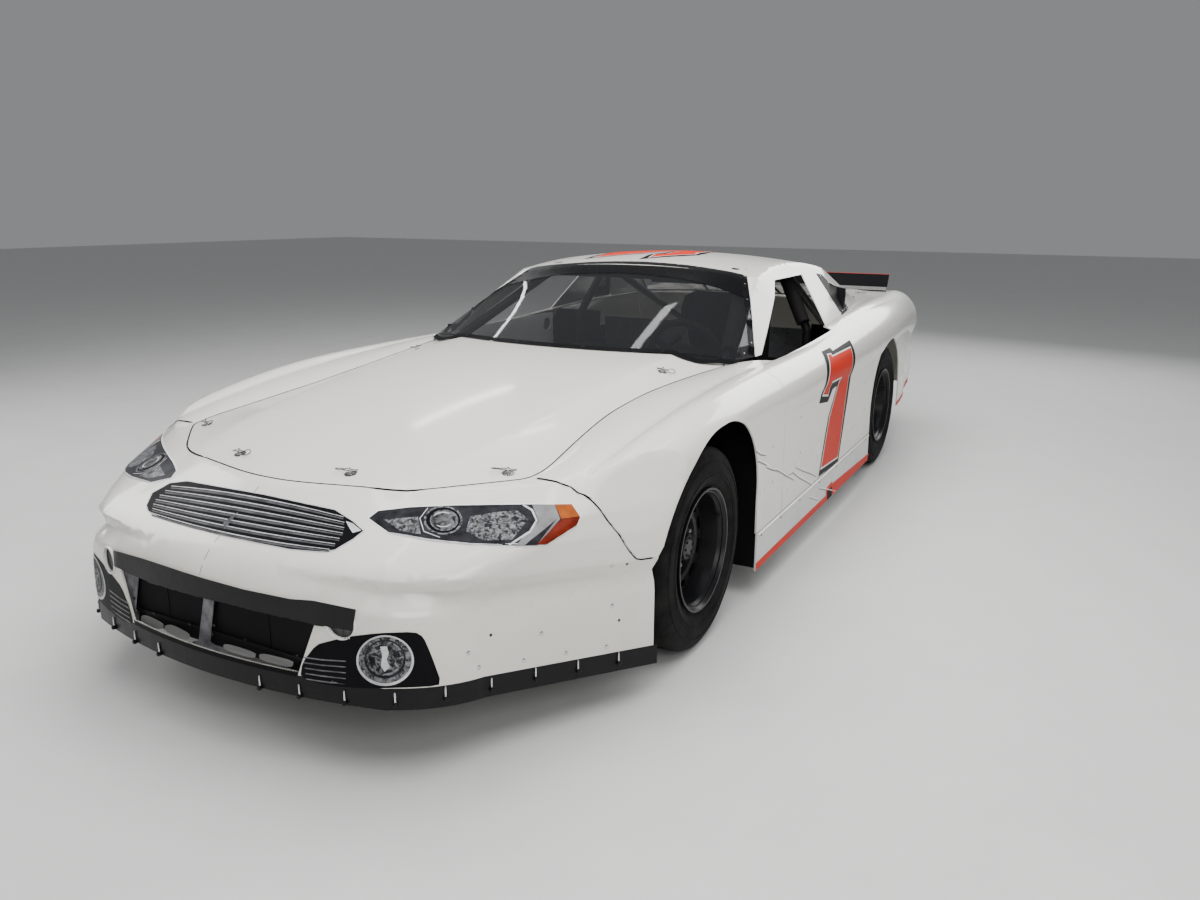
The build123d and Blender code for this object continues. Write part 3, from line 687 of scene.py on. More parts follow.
# Turned shapes: (along, radius) points in millimetres
HEADS = {
    "rivet": [(-1, 4.5), (0.4, 4.5), (1.6, 3.6), (2.2, 1.6)],
    "bolt": [(-1, 7.5), (1.0, 7.5), (1.2, 5.6), (4.2, 5.4), (5.2, 3.2)],
    "screw": [(-1, 6.5), (1.2, 6.2), (2.4, 4.0), (2.5, 1.2)],
    "valance_pin": [(-14, 2.6), (12, 2.6), (14, 1.6)],
    "valance_knob": [(-6, 3), (0, 6.5), (9, 6.5), (11, 4)],
    "scuff_plate": [(-0.5, 19), (1.0, 18.4), (1.4, 16)],
    "quick_pin": [(-1, 8), (3, 7.4), (3.4, 4.2), (17, 4.2), (19, 2.4)],
    "brace_foot": [(-2, 13), (3, 13), (4, 9)],
    "buckle": [(-4, 26), (6, 26), (9, 20)],
    "boss_pad": [(-26, 30), (-20, 48), (8, 66), (22, 70), (34, 66), (40, 52), (42, 20)],
    "switch_nut": [(-2, 9), (4, 9), (5, 6)],
    "switch_lever": [(3, 2.6), (22, 3.6), (24, 2)],
    "gear_knob": [(-20, 8), (-14, 20), (0, 26), (14, 20), (20, 8)],
    "lug_nut": [(-2, 17), (3, 17), (4, 14.5), (22, 14.5), (24, 12)],
    "wheel_stud": [(15, 7.5), (38, 7.5), (40, 5.5)],
    "hub_cap": [(70, 44.4), (80, 43), (83, 38), (84, 20)],
    "hub_screw": [(82, 4), (88, 4), (89, 2.5)],
    "disc_hole": [(-46.2, 3.4), (-45.4, 3.4)],
    "disc_bell": [(-72, 80), (-20, 70), (10, 62), (20, 60)],
    "valve_stem": [(-4, 3.2), (26, 3.2), (27, 2.6)],
}


def fasteners(name, rows, finish, head="rivet", both=False):
    """Turned heads set on the skin. rows: a view and the 2-D points in it."""
    mesh = bmesh.new()
    for view, points in rows:
        for point in points:
            place, normal = touch(point, view)
            if place is not None:
                for p, n in both_sides(place, normal)[:2 if both else 1]:
                    lathe(mesh, HEADS[head], p, n, 12)
    link_mesh(name, mesh, finish, smooth=35)


# Body panels that are shown smooth, and the angle in degrees above which an edge stays sharp
SMOOTHED = {"nose_cover": 34, "fender_left": 34, "fender_right": 34, "hood": 30, "roof": 26,
            "tail_cover": 34, "quarter_left": 34, "quarter_right": 34, "deck_lid": 30,
            "door_left": 34, "door_right": 34, "front_valance": 34}


def make_skins():
    """Body panels whose strips of skin shade into each other, each in the place of its node."""
    for name, angle in SMOOTHED.items():
        node = frame["nodes"][name]
        mesh = bmesh.new()
        mesh.from_mesh(node.data)
        bmesh.ops.transform(mesh, matrix=node.matrix_world, verts=mesh.verts)
        bmesh.ops.remove_doubles(mesh, verts=mesh.verts, dist=0.00002)
        bmesh.ops.dissolve_degenerate(mesh, edges=mesh.edges, dist=0.00001)
        panel = link_mesh("skin_" + name, mesh, SLOTS[name], smooth=angle)
        panel.modifiers.new("shade", "WEIGHTED_NORMAL").keep_sharp = True
        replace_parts(panel, name)


# Front end. Outlines marked as pixels are read off the photograph.

HEADLIGHT = [(367, 518.5), (377.9, 510), (410, 506.3), (454.8, 504.4), (523.7, 503.4),
             (571.9, 503.6), (581.1, 516.9), (577.6, 525.4), (546.6, 545.2), (530.6, 547),
             (489.2, 546.8), (428.4, 541), (388.2, 533.7)]
LAMP_RING = (443.3, 520.8)
HEADLIGHT_PARTS = {
    # name: (material, lift, outlines)
    "keyline": (PRINT_LIGHT, 0.8, [HEADLIGHT]),
    "housing": (PRINT_DARK, 1.4, [shrunk(HEADLIGHT, 1.2)]),
    "reflector": (LAMP_SILVER, 2.0, [
        [(384, 520), (398, 519), (418, 517), (421, 535), (400, 531)],
        [(470, 517), (500, 512), (518, 511), (528, 520), (512, 540), (484, 541), (466, 532)],
    ]),
    "edges": (PRINT_SILVER, 2.6, [
        strip([(428, 508.5), (420, 519), (424, 532), (440, 538)], 1.0, 0.3),
        strip([(390, 533.2), (430, 540.2), (470, 544.2), (502, 545)], 1.1, 0.3),
        strip([(523, 505.2), (532, 510.5), (536.6, 521), (530, 532), (509, 545.6)], 2.2, 0.8),
    ]),
    "ring": (LAMP_SILVER, 2.6, [ellipse(*LAMP_RING, 19.4, 14.4)]),
    "bowl": (PRINT_BLACK, 3.2, [ellipse(*LAMP_RING, 17.2, 12.7)]),
    "lens": (LAMP_SILVER, 3.8, [ellipse(444.3, 521.2, 14.2, 10.6)]),
    "smoke": (LAMP_SMOKE, 4.4, [ellipse(443.4, 521.6, 12.2, 9.0)]),
    "spark": (PRINT_SILVER, 5.0, [
        strip([(434, 517), (438, 514.4), (443.3, 513.4), (450, 514.6)], 1.2, 0.2),
        strip([(437, 526.4), (441, 528), (447, 527.6), (451, 525.4)], 1.0, 0.2),
    ]),
    "divider": (DIVIDER_GREY, 2.6, [
        [(532, 504.8), (554.6, 505), (560, 519.5), (537, 545.8), (515, 546.2), (538.6, 522)],
    ]),
    "shade": (PRINT_DARK, 3.2, [[(549, 526), (556.5, 519.5), (537, 545), (524, 545.6)]]),
    "corner_amber": (PRINT_AMBER, 3.2, [
        [(554.8, 504.9), (571.5, 504.6), (579.9, 517), (561, 519.4)],
    ]),
    "corner_red": (PRINT_RED, 3.2, [
        [(560.8, 519.8), (579.8, 517.4), (576, 525.2), (546.4, 544.2), (536.6, 545)],
    ]),
}

GRILLE = [(187.6, 480.5), (223.3, 486.8), (264.1, 494), (304.9, 502.9), (335.5, 509.3),
          (353.4, 520.8), (364.8, 531), (353.4, 539.9), (335.5, 550.6), (320.2, 552.7),
          (289.6, 550.1), (238.6, 539.9), (187.6, 527.1), (162, 519.5), (148, 511.8), (146, 505.5),
          (151.8, 492.7), (169.7, 482.5)]
GRILLE_BAR_COUNT = 7
# First and last bar: their left end, middle and right end, as pixels
FIRST_BAR = [(172, 486.5), (250, 496.6), (344, 517.4)]
LAST_BAR = [(152.5, 513.4), (236, 535.2), (330, 549.8)]
GRILLE_BOW = 6
GRILLE_GLINT = [(346, 521.5), (353, 524), (361.5, 531), (353, 533.5), (350, 529)]

FOG_SURROUND = [(316.4, 644.5), (330, 641), (345.7, 636.8), (378.9, 633), (414.6, 631.7),
                (423.5, 636.8), (431.2, 654.7), (441.9, 684), (427.3, 686.6), (366.1, 688.6),
                (327.9, 685.3), (300.5, 677.7), (302.6, 662.3)]
FOG_LAMP = (385.3, 660.3)

# Dark wedges in the lamp's reflector: start and end in degrees, near and far radius
LAMP_WEDGES = [(-35, -8, 9, 16), (2, 20, 11.5, 16.5), (34, 52, 7, 12), (60, 96, 12.5, 16),
               (112, 128, 9, 15), (146, 190, 10.5, 16.5), (200, 214, 7, 13), (230, 262, 12, 16),
               (281, 300, 9.5, 14)]


def facet(start, end, near, far):
    """One of the wedges of a lamp's reflector."""
    a, b = math.radians(start), math.radians(end)
    x, y = FOG_LAMP
    return [(x + r * math.cos(t), y - 2 + 0.94 * r * math.sin(t))
            for t, r in ((a, near), (a, far), (b, far), (b, near))]


FOG_PARTS = {
    "surround": (PRINT_BLACK, 1.3, [rounded(FOG_SURROUND, 1)]),
    "louvres": (PRINT_GREY, 2.0, [
        strip([(304 + 0.6 * k, 657 + 5.4 * k), (322, 659.5 + 5.4 * k), (346, 661 + 5.8 * k)], 1.3,
              0.4) for k in range(5)
    ]),
    "rim": (PRINT_SILVER, 2.0, [ellipse(*FOG_LAMP, 28.6, 25.3, 36)]),
    "bowl": (LAMP_SILVER, 2.6, [ellipse(385.3, 659.6, 26.4, 23.2, 36)]),
    "bowl_ring": (PRINT_DARK, 3.2, [ellipse(385.3, 658.6, 20.5, 19.4, 32)]),
    "lens": (LAMP_SILVER, 3.8, [ellipse(385.4, 657.8, 18.2, 17.2, 32)]),
    "facets": (PRINT_DARK, 4.4, [facet(*row) for row in LAMP_WEDGES]),
    "bulb": (PRINT_SILVER, 5.0, [
        [(381, 646), (387, 645.5), (389, 652), (387, 659), (390, 666), (385, 671), (381.5, 665),
         (383, 655)],
    ]),
}

TAPE_TOP = [(111, 549.6), (144.2, 559), (182.4, 571.8), (202.9, 578.2), (243.7, 589.6),
            (289.6, 599), (312.6, 600.6), (355.9, 609.6)]
TAPE_BOTTOM = [(111.4, 565.2), (131, 574.5), (149.6, 582.6), (191.2, 595.3), (214.4, 600.6),
               (260.7, 612.6), (302.3, 621.9), (316.2, 625.4), (342.8, 628.9), (352.1, 631.6)]

# The mouth of a brake duct beside the inlet, in millimetres from the front
DUCT_X, DUCT_Z, DUCT_RADIUS = 449, 424, 39
# Distances in metres: tape in front of the skin and of a duct, its thickness, where the ducts begin
TAPE_GAP, TAPE_DUCT_GAP, TAPE_THICKNESS, TAPE_DUCT_X = 0.002, 0.006, 0.0006, 0.385

# The panels behind the air inlet stand on one upright plane
INLET_BACK_Y = -2433.0
LIP_RAISE = 4.5
LIP_MESHES = [
    [(141.6, 619.7), (148, 620.3), (163.3, 627.9), (163.3, 633), (156.9, 633.8), (141.1, 626.1)],
    [(165.1, 629.7), (172.2, 629.2), (189.6, 638.1), (189.6, 644), (182.4, 644.5), (164.6, 634.8)],
    [(223.3, 648.8), (229.6, 648.8), (255.9, 657.2), (255.2, 662.3), (248.8, 661.8),
     (224.5, 654.2)],
    [(259, 658.5), (266.6, 658.5), (293.4, 665.4), (292.7, 671.3), (285.8, 671.3), (260.3, 664.4)],
]
CENTRE_BRACKET = [(204.1, 596), (214.3, 599), (210.5, 642), (221.2, 648.3), (219.4, 653.9),
                  (205.4, 651.6), (192.7, 645.8), (192.7, 641.4), (199, 640)]
END_BRACKET = [(124, 570), (139.1, 575), (136, 609), (139.1, 614.4), (139.1, 622.3), (134, 623.3),
               (120.6, 616.2), (120, 612)]
INLET_PANELS = [(-384, -200), (-197, -12), (12, 196), (199, 384)]
INLET_RIVETS = [(-340, 440), (-340, 330), (-330, 290), (-4, 400), (-10, 320), (-20, 292),
                (100, 300), (100, 452), (290, 300), (290, 452), (-110, 300), (-110, 452),
                (-260, 300), (-260, 452)]
INLET_SILL = [(-318, 262), (318, 262), (322, 274), (318, 279), (-318, 279), (-322, 274)]

VALANCE_STUDS = [(260.4, 680), (299.9, 688.5), (345, 695), (395.1, 697), (445.2, 691), (491.1, 682),
                 (535.2, 671.6), (577.6, 664), (618.1, 656)]
NOSE_RIVETS = [(612.1, 565.6), (612.1, 605.8), (541.3, 633.3), (468.1, 653.1), (478.9, 667.3),
               (523.7, 660.4), (566.1, 653.1), (606.3, 646.6)]
NOSE_HOLES = [(490.8, 635.1), (619, 620.2), (627, 564)]
PRINT_SPACING = 3


def print_parts(name, parts):
    """The layers of a printed lamp, on both sides of the nose."""
    for part, (finish, lift, outlines) in parts.items():
        decal(name + "_" + part, outlines, seen, finish, lift, PRINT_SPACING, both=True)


def make_front_prints():
    """The printed lamps and grille on the nose."""
    print_parts("headlight", HEADLIGHT_PARTS)
    tops, sides = [], []
    for k in range(GRILLE_BAR_COUNT):
        t = k / (GRILLE_BAR_COUNT - 1)
        ends = [Vector(a).lerp(Vector(b), t) for a, b in zip(FIRST_BAR, LAST_BAR)]
        (x0, y0), middle, (x1, y1) = ends
        bow = GRILLE_BOW * math.sin(math.pi * t)
        bar = curve((x0 - bow, y0), middle, (x1 + bow, y1))
        tops.append(strip(bar, 0.9, 0.4))
        sides.append(strip([(x - 0.5, y + 1.9) for x, y in bar], 2.2, 0.5))
    for name, outlines, finish, lift in (("surround", [GRILLE], PRINT_SILVER, 0.8),
                                         ("ground", [shrunk(GRILLE, 1.0)], PRINT_BLACK, 1.4),
                                         ("bar_sides", sides, BAR_GREY, 2.0),
                                         ("bar_tops", tops, PRINT_SILVER, 2.6),
                                         ("glint", [GRILLE_GLINT], PRINT_SILVER, 2.6)):
        decal("grille_" + name, outlines, seen, finish, lift, PRINT_SPACING)
    print_parts("fog", FOG_PARTS)
    seam = strip([(0, 668), (0, 600), (0, 540), (0, 484)], 2.0)
    decal("nose_centre_seam", [seam], front, PRINT_GREY, 0.5)


def along(path, share):
    """The point at a share of a 2-D path's length."""
    points = [Vector(p) for p in path]
    left_over = share * sum((b - a).length for a, b in zip(points, points[1:]))
    for a, b in zip(points, points[1:]):
        run = (b - a).length
        if left_over <= run:
            return tuple(a.lerp(b, left_over / run))
        left_over -= run
    return tuple(points[-1])


def duct_plane():
    """Centre and facing direction of the left duct's mouth."""
    place, normal = touch((DUCT_X + DUCT_RADIUS + 6, DUCT_Z), front)
    place = (place + touch((DUCT_X - DUCT_RADIUS - 6, DUCT_Z - 10), front)[0]) / 2
    place.x, place.z = DUCT_X * MM, DUCT_Z * MM
    return place, normal


def make_tape():
    """Cloth tape along the top of the inlet, hanging over it and over the ducts' upper half."""
    rng = random.Random(4)
    count, rows = 90, 6
    duct, facing = duct_plane()
    columns, hangs = [], []
    for k in range(count + 1):
        head = along(TAPE_TOP, k / count)
        u, v = along(TAPE_BOTTOM, k / count)
        tail = (u, v + rng.uniform(-0.5, 0.5))
        top = touch(head, seen)[0]
        pixels = [tuple(Vector(head).lerp(Vector(tail), row / (rows - 1))) for row in range(rows)]
        fore = [top.y - TAPE_GAP]
        for pixel in pixels[1:]:
            skin = touch(on_plane_y(pixel, top.y / MM), front)[0]
            if skin is not None:
                fore.append(skin.y - TAPE_GAP)
        if abs(top.x) > TAPE_DUCT_X:
            across = (abs(top.x) - duct.x) * facing.x + (top.z - duct.z) * facing.z
            fore.append(duct.y - across / facing.y - TAPE_DUCT_GAP)
        columns.append(pixels)
        hangs.append(min(fore))
    # The band is taut, so it spans the dips between what lies behind it
    for _ in range(80):
        for k in range(1, count):
            hangs[k] = min(hangs[k], (hangs[k - 1] + hangs[k + 1]) / 2)
    mesh = bmesh.new()
    outer, inner = [], []
    for pixels, hang in zip(columns, hangs):
        spots = [on_plane_y(pixel, hang / MM) for pixel in pixels]
        for sheet, y in ((outer, hang), (inner, hang + TAPE_THICKNESS)):
            sheet.append([mesh.verts.new((x * MM, y, z * MM)) for x, z in spots])
    rims = []
    for sheet in (outer, inner):
        for a, b in zip(sheet, sheet[1:]):
            for k in range(rows - 1):
                mesh.faces.new((a[k], b[k], b[k + 1], a[k + 1]))
        rims.append([column[0] for column in sheet] + sheet[-1][1:]
                    + [column[-1] for column in sheet[-2::-1]] + sheet[0][-2:0:-1])
    for (a, b), (c, d) in zip(edges_of(rims[0]), edges_of(rims[1])):
        mesh.faces.new((a, b, d, c))
    link_mesh("inlet_tape", mesh, TAPE, smooth=50)


def on_plane_y(pixel, y):
    """(x, z) in millimetres where a pixel's ray meets an upright plane across the car."""
    way = pixel_ray(*pixel)
    place = CAMERA_PLACE + way * ((y * MM - CAMERA_PLACE.y) / way.y)
    return place.x / MM, place.z / MM


def make_inlet():
    """Blanking panels, brackets, lip and mesh in the air inlet."""
    panels, lip, lip_mesh, brackets, rivets = (bmesh.new() for _ in range(5))
    for x0, x1 in INLET_PANELS:
        block(panels, x0, x1, INLET_BACK_Y, INLET_BACK_Y + 2, 268, 476)
    block(panels, -384, 384, INLET_BACK_Y + 2, INLET_BACK_Y + 3.5, 262, 478)
    slab(lip, box(-352, 352, 258, 300), at(0, INLET_BACK_Y - 2, 0), ACROSS, UP, 2)
    for pixels in LIP_MESHES:
        outline = [on_plane_y((u, v - LIP_RAISE), INLET_BACK_Y - 5) for u, v in pixels]
        slab(lip_mesh, rounded(outline, 1), at(0, INLET_BACK_Y - 4.4, 0), ACROSS, UP, 1.6)
    for pixels in (CENTRE_BRACKET, END_BRACKET):
        outline = [on_plane_y(p, INLET_BACK_Y - 6) for p in pixels]
        slab(brackets, outline, at(0, INLET_BACK_Y - 5.2, 0), ACROSS, UP, 2.4)
    for x, z in INLET_RIVETS:
        stand = 8 if x < 0 and z < 450 else 1
        lathe(rivets, HEADS["rivet"], at(x, INLET_BACK_Y - stand, z), FORWARD, 10)
    softened(link_mesh("inlet_blanking_panels", panels, BLACK_SHEET, slot="valance_black"), 0.5, 1)
    softened(link_mesh("inlet_lip", lip, "valance_black"), 0.8)
    link_mesh("inlet_lip_mesh", lip_mesh, MESH_GREY)
    softened(link_mesh("inlet_brackets", brackets, PRINT_GREY, slot="raw_steel"), 0.8)
    link_mesh("inlet_rivets", rivets, DARK_WIRE, smooth=35)
    decal("inlet_sill", [INLET_SILL], front, PRINT_BLACK, 0.9, 8)


def make_ducts():
    """The mouths of the brake ducts, with their screens."""
    rims, screens = bmesh.new(), bmesh.new()
    rim = [(-7, DUCT_RADIUS - 2.5), (1.5, DUCT_RADIUS - 2.5), (2.8, DUCT_RADIUS + 0.5),
           (1.0, DUCT_RADIUS + 3.5), (-7, DUCT_RADIUS + 1)]
    for place, normal in both_sides(*duct_plane()):
        turned_ring(rims, rim, place, normal, 40)
        lathe(screens, [(-12, DUCT_RADIUS - 1), (-10, DUCT_RADIUS - 1)], place, normal, 36)
    link_mesh("duct_rims", rims, PRINT_WHITE, slot="body_paint", smooth=50)
    link_mesh("duct_screens", screens, MESH_BLACK)


def make_nose_fasteners():
    """The valance's pins with their knobs, and the screws and holes in the nose's sides."""
    pins, knobs = bmesh.new(), bmesh.new()
    for point in VALANCE_STUDS:
        for place, normal in both_sides(*touch(point, seen)):
            normal = Vector((normal.x, normal.y, 0)).normalized()
            lathe(pins, HEADS["valance_pin"], place + normal * 0.003, UP, 10)
            lathe(knobs, HEADS["valance_knob"], place - UP * 0.020, normal, 12)
    link_mesh("valance_pins", pins, BRIGHT, smooth=35)
    link_mesh("valance_knobs", knobs, "valance_black", smooth=35)
    fasteners("nose_rivets", [(seen, NOSE_RIVETS)], BRIGHT, "screw", both=True)
    fasteners("nose_side_holes", [(seen, NOSE_HOLES)], DARK_WIRE, both=True)


# Quick pins: x, y and the direction of the clip in degrees
HOOD_PINS = [(582, -833, 20), (611, -1921, 200), (219, -2124, 185)]
DECK_PINS = [(620, 1780, 10), (-620, 1780, 170), (620, 2085, 10), (-620, 2085, 170)]
# The two wires of a clip, along and across it from the pin
CLIP_WIRES = [[(21, 3), (-12, 3), (-24, -2)], [(22, -6), (4, -8), (-10, -5), (-22, -9)]]


def make_hood_pins():
    """Six quick pins with scuff plates and wire clips, and four on the deck lid."""
    plates, pins, wires = (bmesh.new() for _ in range(3))
    for x, y, turn in HOOD_PINS + [(-x, y, 180 - turn) for x, y, turn in HOOD_PINS] + DECK_PINS:
        place, normal = touch((x, y), above)
        lathe(plates, HEADS["scuff_plate"], place, normal, 20)
        lathe(pins, HEADS["quick_pin"], place, normal, 12)
        run = turned(ACROSS, REARWARD, math.radians(turn))
        run = (run - normal * run.dot(normal)).normalized()
        side = normal.cross(run)
        base = place + normal * 0.011
        ring = [base + run * (0.034 + 0.014 * math.cos(a))
                + (side * 0.011 + normal * 0.004) * math.sin(a) for a in angles(18)]
        tube(wires, ring, 1.3, 6, closed=True)
        for wire in CLIP_WIRES:
            tube(wires, [base + (run * u + side * v) * MM for u, v in wire], 1.3, 6)
    link_mesh("pin_scuff_plates", plates, BRIGHT, smooth=35)
    link_mesh("quick_pins", pins, BRIGHT, smooth=35)
    link_mesh("pin_clips", wires, DARK_WIRE, smooth=60)


# Body: number, stripes, glass borders, trim

# Pixels of the number on the left door: its black outline and the coloured figure inside it
NUMBER_OUTLINE = [(821.2, 351.7), (829.7, 347.6), (832.7, 350.8), (849.5, 340), (852.7, 346.4),
                  (855.2, 361.5), (847, 401.9), (837.9, 461.3), (817.5, 478.9), (822.1, 452.5),
                  (828.3, 416.5), (837.1, 385.7), (832.7, 388.7), (827.8, 401.9), (819.2, 403.6),
                  (825, 360.1)]
NUMBER_FIGURE = [(827.8, 355.2), (830.8, 354.6), (831.8, 357.1), (850.3, 347.9), (852.5, 361.1),
                 (837.1, 456.5), (820.9, 467.6), (829.3, 418), (842, 376.2), (832.2, 381.3),
                 (827.8, 394.5), (823.1, 394.5)]
NUMBER_INLINE = 7.0
NUMBER_SPACING = 10.0
ROOF_NUMBER_SCALE = 1.15
ROOF_NUMBER_PLACE = (-20, 560)
STRIPE_TOP = 143.0
STRIPE_BOTTOM = 113.5
JACK_NOTCH = (128, 232)
ROCKER_BEAD = 250.0


def on_left_skin(pixel):
    """(y, rise) of a pixel's place on the left side, in the slanted view."""
    return slanted(touch(pixel, seen)[0])


def paint_number(name, outline, figure, view, spacing):
    """One number in three layers: black outline, white inline and coloured figure."""
    decal("number_outline_" + name, [outline], view, PRINT_BLACK, 0.8, spacing)
    decal("number_inline_" + name, [shrunk(figure, -NUMBER_INLINE)], view, PRINT_WHITE, 1.5,
          spacing)
    decal("number_figure_" + name, [figure], view, PRINT_ORANGE, 2.2, spacing)


def make_numbers():
    """The figure 7 on both doors, read from each side, and on the roof."""
    loops = [[on_left_skin(p) for p in pixels] for pixels in (NUMBER_OUTLINE, NUMBER_FIGURE)]
    y_middle, z_middle = (sum(row) / len(loops[0]) for row in zip(*loops[0]))
    paint_number("left", *loops, left_slant, NUMBER_SPACING)
    twins = [[(2 * y_middle - y, z) for y, z in loop] for loop in loops]
    paint_number("right", *twins, right_slant, NUMBER_SPACING)
    x_roof, y_roof = ROOF_NUMBER_PLACE
    flat = [[(x_roof - (z - z_middle) * ROOF_NUMBER_SCALE,
              y_roof + (y - y_middle) * ROOF_NUMBER_SCALE) for y, z in loop] for loop in loops]
    paint_number("roof", *flat, above, 25)


def make_stripes():
    """Red-orange edging along the rockers, with a step over the jack's notch, which has a black
    sheet as its painted shade, and the tail.
    """
    start, notch, end = JACK_NOTCH[0] - 8, JACK_NOTCH[0] + 14, JACK_NOTCH[1] - 4
    rocker = [
        box(-850, start, STRIPE_BOTTOM, STRIPE_TOP),
        [(start, STRIPE_BOTTOM), (notch, STRIPE_BOTTOM), (notch, 178), (start, 166)],
        [(notch, 160), (end, 160), (end, 186), (notch, 178)],
        [(end, STRIPE_BOTTOM), (1030, STRIPE_BOTTOM), (1030, STRIPE_TOP), (end, STRIPE_TOP + 30)],
    ]
    corner = [(2136, 304), (2395, 304), (2410, 334), (2136, 334)]
    for name, outlines, finish, spacing in (
            ("rocker_stripe", rocker, PRINT_ORANGE, 40),
            # Painted shade: a black sheet over the jack's notch
            ("rocker_notch_shade", [box(notch, end, STRIPE_BOTTOM, 160)], BLACK_SHEET, 30),
            ("quarter_stripe", [box(1700, 2124, 265, 290)], PRINT_ORANGE, 40),
            ("tail_stripe", [corner], PRINT_ORANGE, 30)):
        decal(name, outlines, left, finish, 0.9, spacing, both=True)
    decal("tail_back_stripe", [box(-800, 800, 304, 334)], back, PRINT_ORANGE, 0.9, 40)


SUN_STRIP = [(-572, 66), (-548, 108), (-480, 128), (-250, 160), (0, 172), (250, 160), (480, 128),
             (548, 108), (572, 66), (652, -82), (300, -12), (0, 6), (-300, -12), (-652, -82)]


def make_windshield_trim():
    """Sun strip, black border and fasteners of the windshield."""
    decal("sun_strip", [SUN_STRIP], above, SMOKE, 1.0, 35)
    pane = tree_of(["windshield"])
    feet = edge_points([(x, -820) for x in range(-816, 817, 24)], (0, 2), above, pane)
    foot = [(x, y + 3) for x, y in feet] + [(x, y + 30) for x, y in feet[::-1]]
    edges = edge_points([(900, y) for y in range(-430, 61, 35)], (-2, 0), above, pane)
    side = [(x - 2, y) for x, y in edges] + [(x - 30, y) for x, y in edges[::-1]]
    decal("windshield_border", [foot, side, [(-x, y) for x, y in side]], above, PRINT_BLACK, 1.0,
          18, tree=pane)
    spots = [(x, 160 - 46 * (x / 520) ** 2) for x in range(-520, 521, 104)]
    spots += [(turn * (x - 14), y) for turn in (1, -1) for x, y in edges[1::3]]
    fasteners("windshield_screws", [(above, spots)], BRIGHT)
    clips = edge_points([(x, -820) for x in (-480, -160, 160, 480)], (0, 2), above, pane)
    fasteners("windshield_clips", [(above, [(x, y + 14) for x, y in clips])], DARK_WIRE, "bolt")


def make_window_trim():
    """Borders, screws and straps of the quarter windows and the rear window."""
    pane = tree_of(["quarter_window_left"])
    low, high = (edge_points([(y, z) for y in range(1008, 1290, 18)], (0, step), left, pane)
                 for z, step in ((820, 2), (1110, -2)))
    ring = low + high[::-1]
    ring = [p for k, p in enumerate(ring) if math.dist(p, ring[k - 1]) > 6]
    decal("quarter_window_border", [ring_band(ring, 2, 17)], left, PRINT_BLACK, 1.0, 14, both=True,
          tree=pane)
    fasteners("quarter_window_screws", [(left, shrunk(ring, 9)[::4])], BRIGHT, both=True)
    corners = [(-546, 1154), (546, 1154), (676, 1668), (-676, 1668)]
    bands = [strip([a, ((a[0] + b[0]) / 2, (a[1] + b[1]) / 2), b], 24)
             for a, b in edges_of(corners)]
    decal("rear_window_border", bands, above, PRINT_BLACK, 1.0, 40)
    straps = [strip([(x, 1160), (x * 1.08, 1420), (x * 1.2, 1672)], 22) for x in (-200, 200)]
    decal("rear_window_straps", straps, above, "cast_aluminium", 1.6, 40)


def ring_band(outline, outer, inner):
    """A band inside a closed outline, slit at one point so that it is one loop."""
    far, near = shrunk(outline, outer), shrunk(outline, inner)
    return far + [far[0], near[0]] + near[:0:-1]


HOOD_EDGE = [(0, -2234), (433, -2151), (600, -1998), (697, -1900), (651, -1580), (627, -1351),
             (635, -1097), (660, -913), (691, -721), (731, -503), (600, -564), (430, -636),
             (0, -702)]
# The nose's rear edge in the side view, from the wheel opening up to the hood
NOSE_EDGE = [(-1722, 457), (-1771, 462), (-1802, 500), (-1862, 600), (-1896, 676)]
NOSE_EDGE_SLOPE = (-1902, 690, -158 / 210)


def make_seams():
    """Dark lines where the hood and the nose end, and the bead along the top of the rockers."""
    loop = rounded(HOOD_EDGE + [(-x, y) for x, y in HOOD_EDGE[-2:0:-1]], 3)
    half = len(loop) // 2
    runs = [loop[:half + 1], loop[half:] + loop[:1]]
    decal("hood_seam", [strip(run, 5) for run in runs], above, PRINT_BLACK, 0.5, 60, thickness=0.4)
    places = [touch(along(NOSE_EDGE, k / 16), left)[0] for k in range(17)]
    y0, z0, slope = NOSE_EDGE_SLOPE
    for x in range(860, 690, -20):
        y = y0
        for _ in range(4):
            y = y0 + (touch((x, y), above)[0].z / MM - z0) * slope
        places.append(touch((x, y), above)[0])
    seam = strip([pixel_of(p) for p in places if p is not None], 1.5)
    decal("nose_seam", [seam], seen, PRINT_BLACK, 1.4, 4, both=True, thickness=0.4)
    mesh = bmesh.new()
    path = [touch((y, ROCKER_BEAD), left)[0] for y in range(-840, 1041, 60)]
    for turn in (1, -1):
        tube(mesh, [Vector((turn * p.x, p.y, p.z)) for p in path if p is not None], 5, 10)
    link_mesh("rocker_beads", mesh, "body_paint", smooth=60)


def make_roof_trim():
    """Small black marks and rivet rows on the roof."""
    marks = [box(x - 17, x + 17, 182, 210) for x in (478, -478)]
    decal("roof_marks", marks, above, PRINT_BLACK)
    spots = [(side * (592 - 0.02 * abs(y - 500)), y) for side in (1, -1)
             for y in range(330, 1050, 90)]
    fasteners("roof_rivets", [(above, spots + [(520, 230), (-520, 230)])], BRIGHT)


# Half the spoiler's width, the direction from its foot to its edge, and the places of its braces
SPOILER_HALF = 745
SPOILER_TILT = Vector((0, 64, 126)).normalized()
SPOILER_BRACES = (-640, -215, 215, 640)


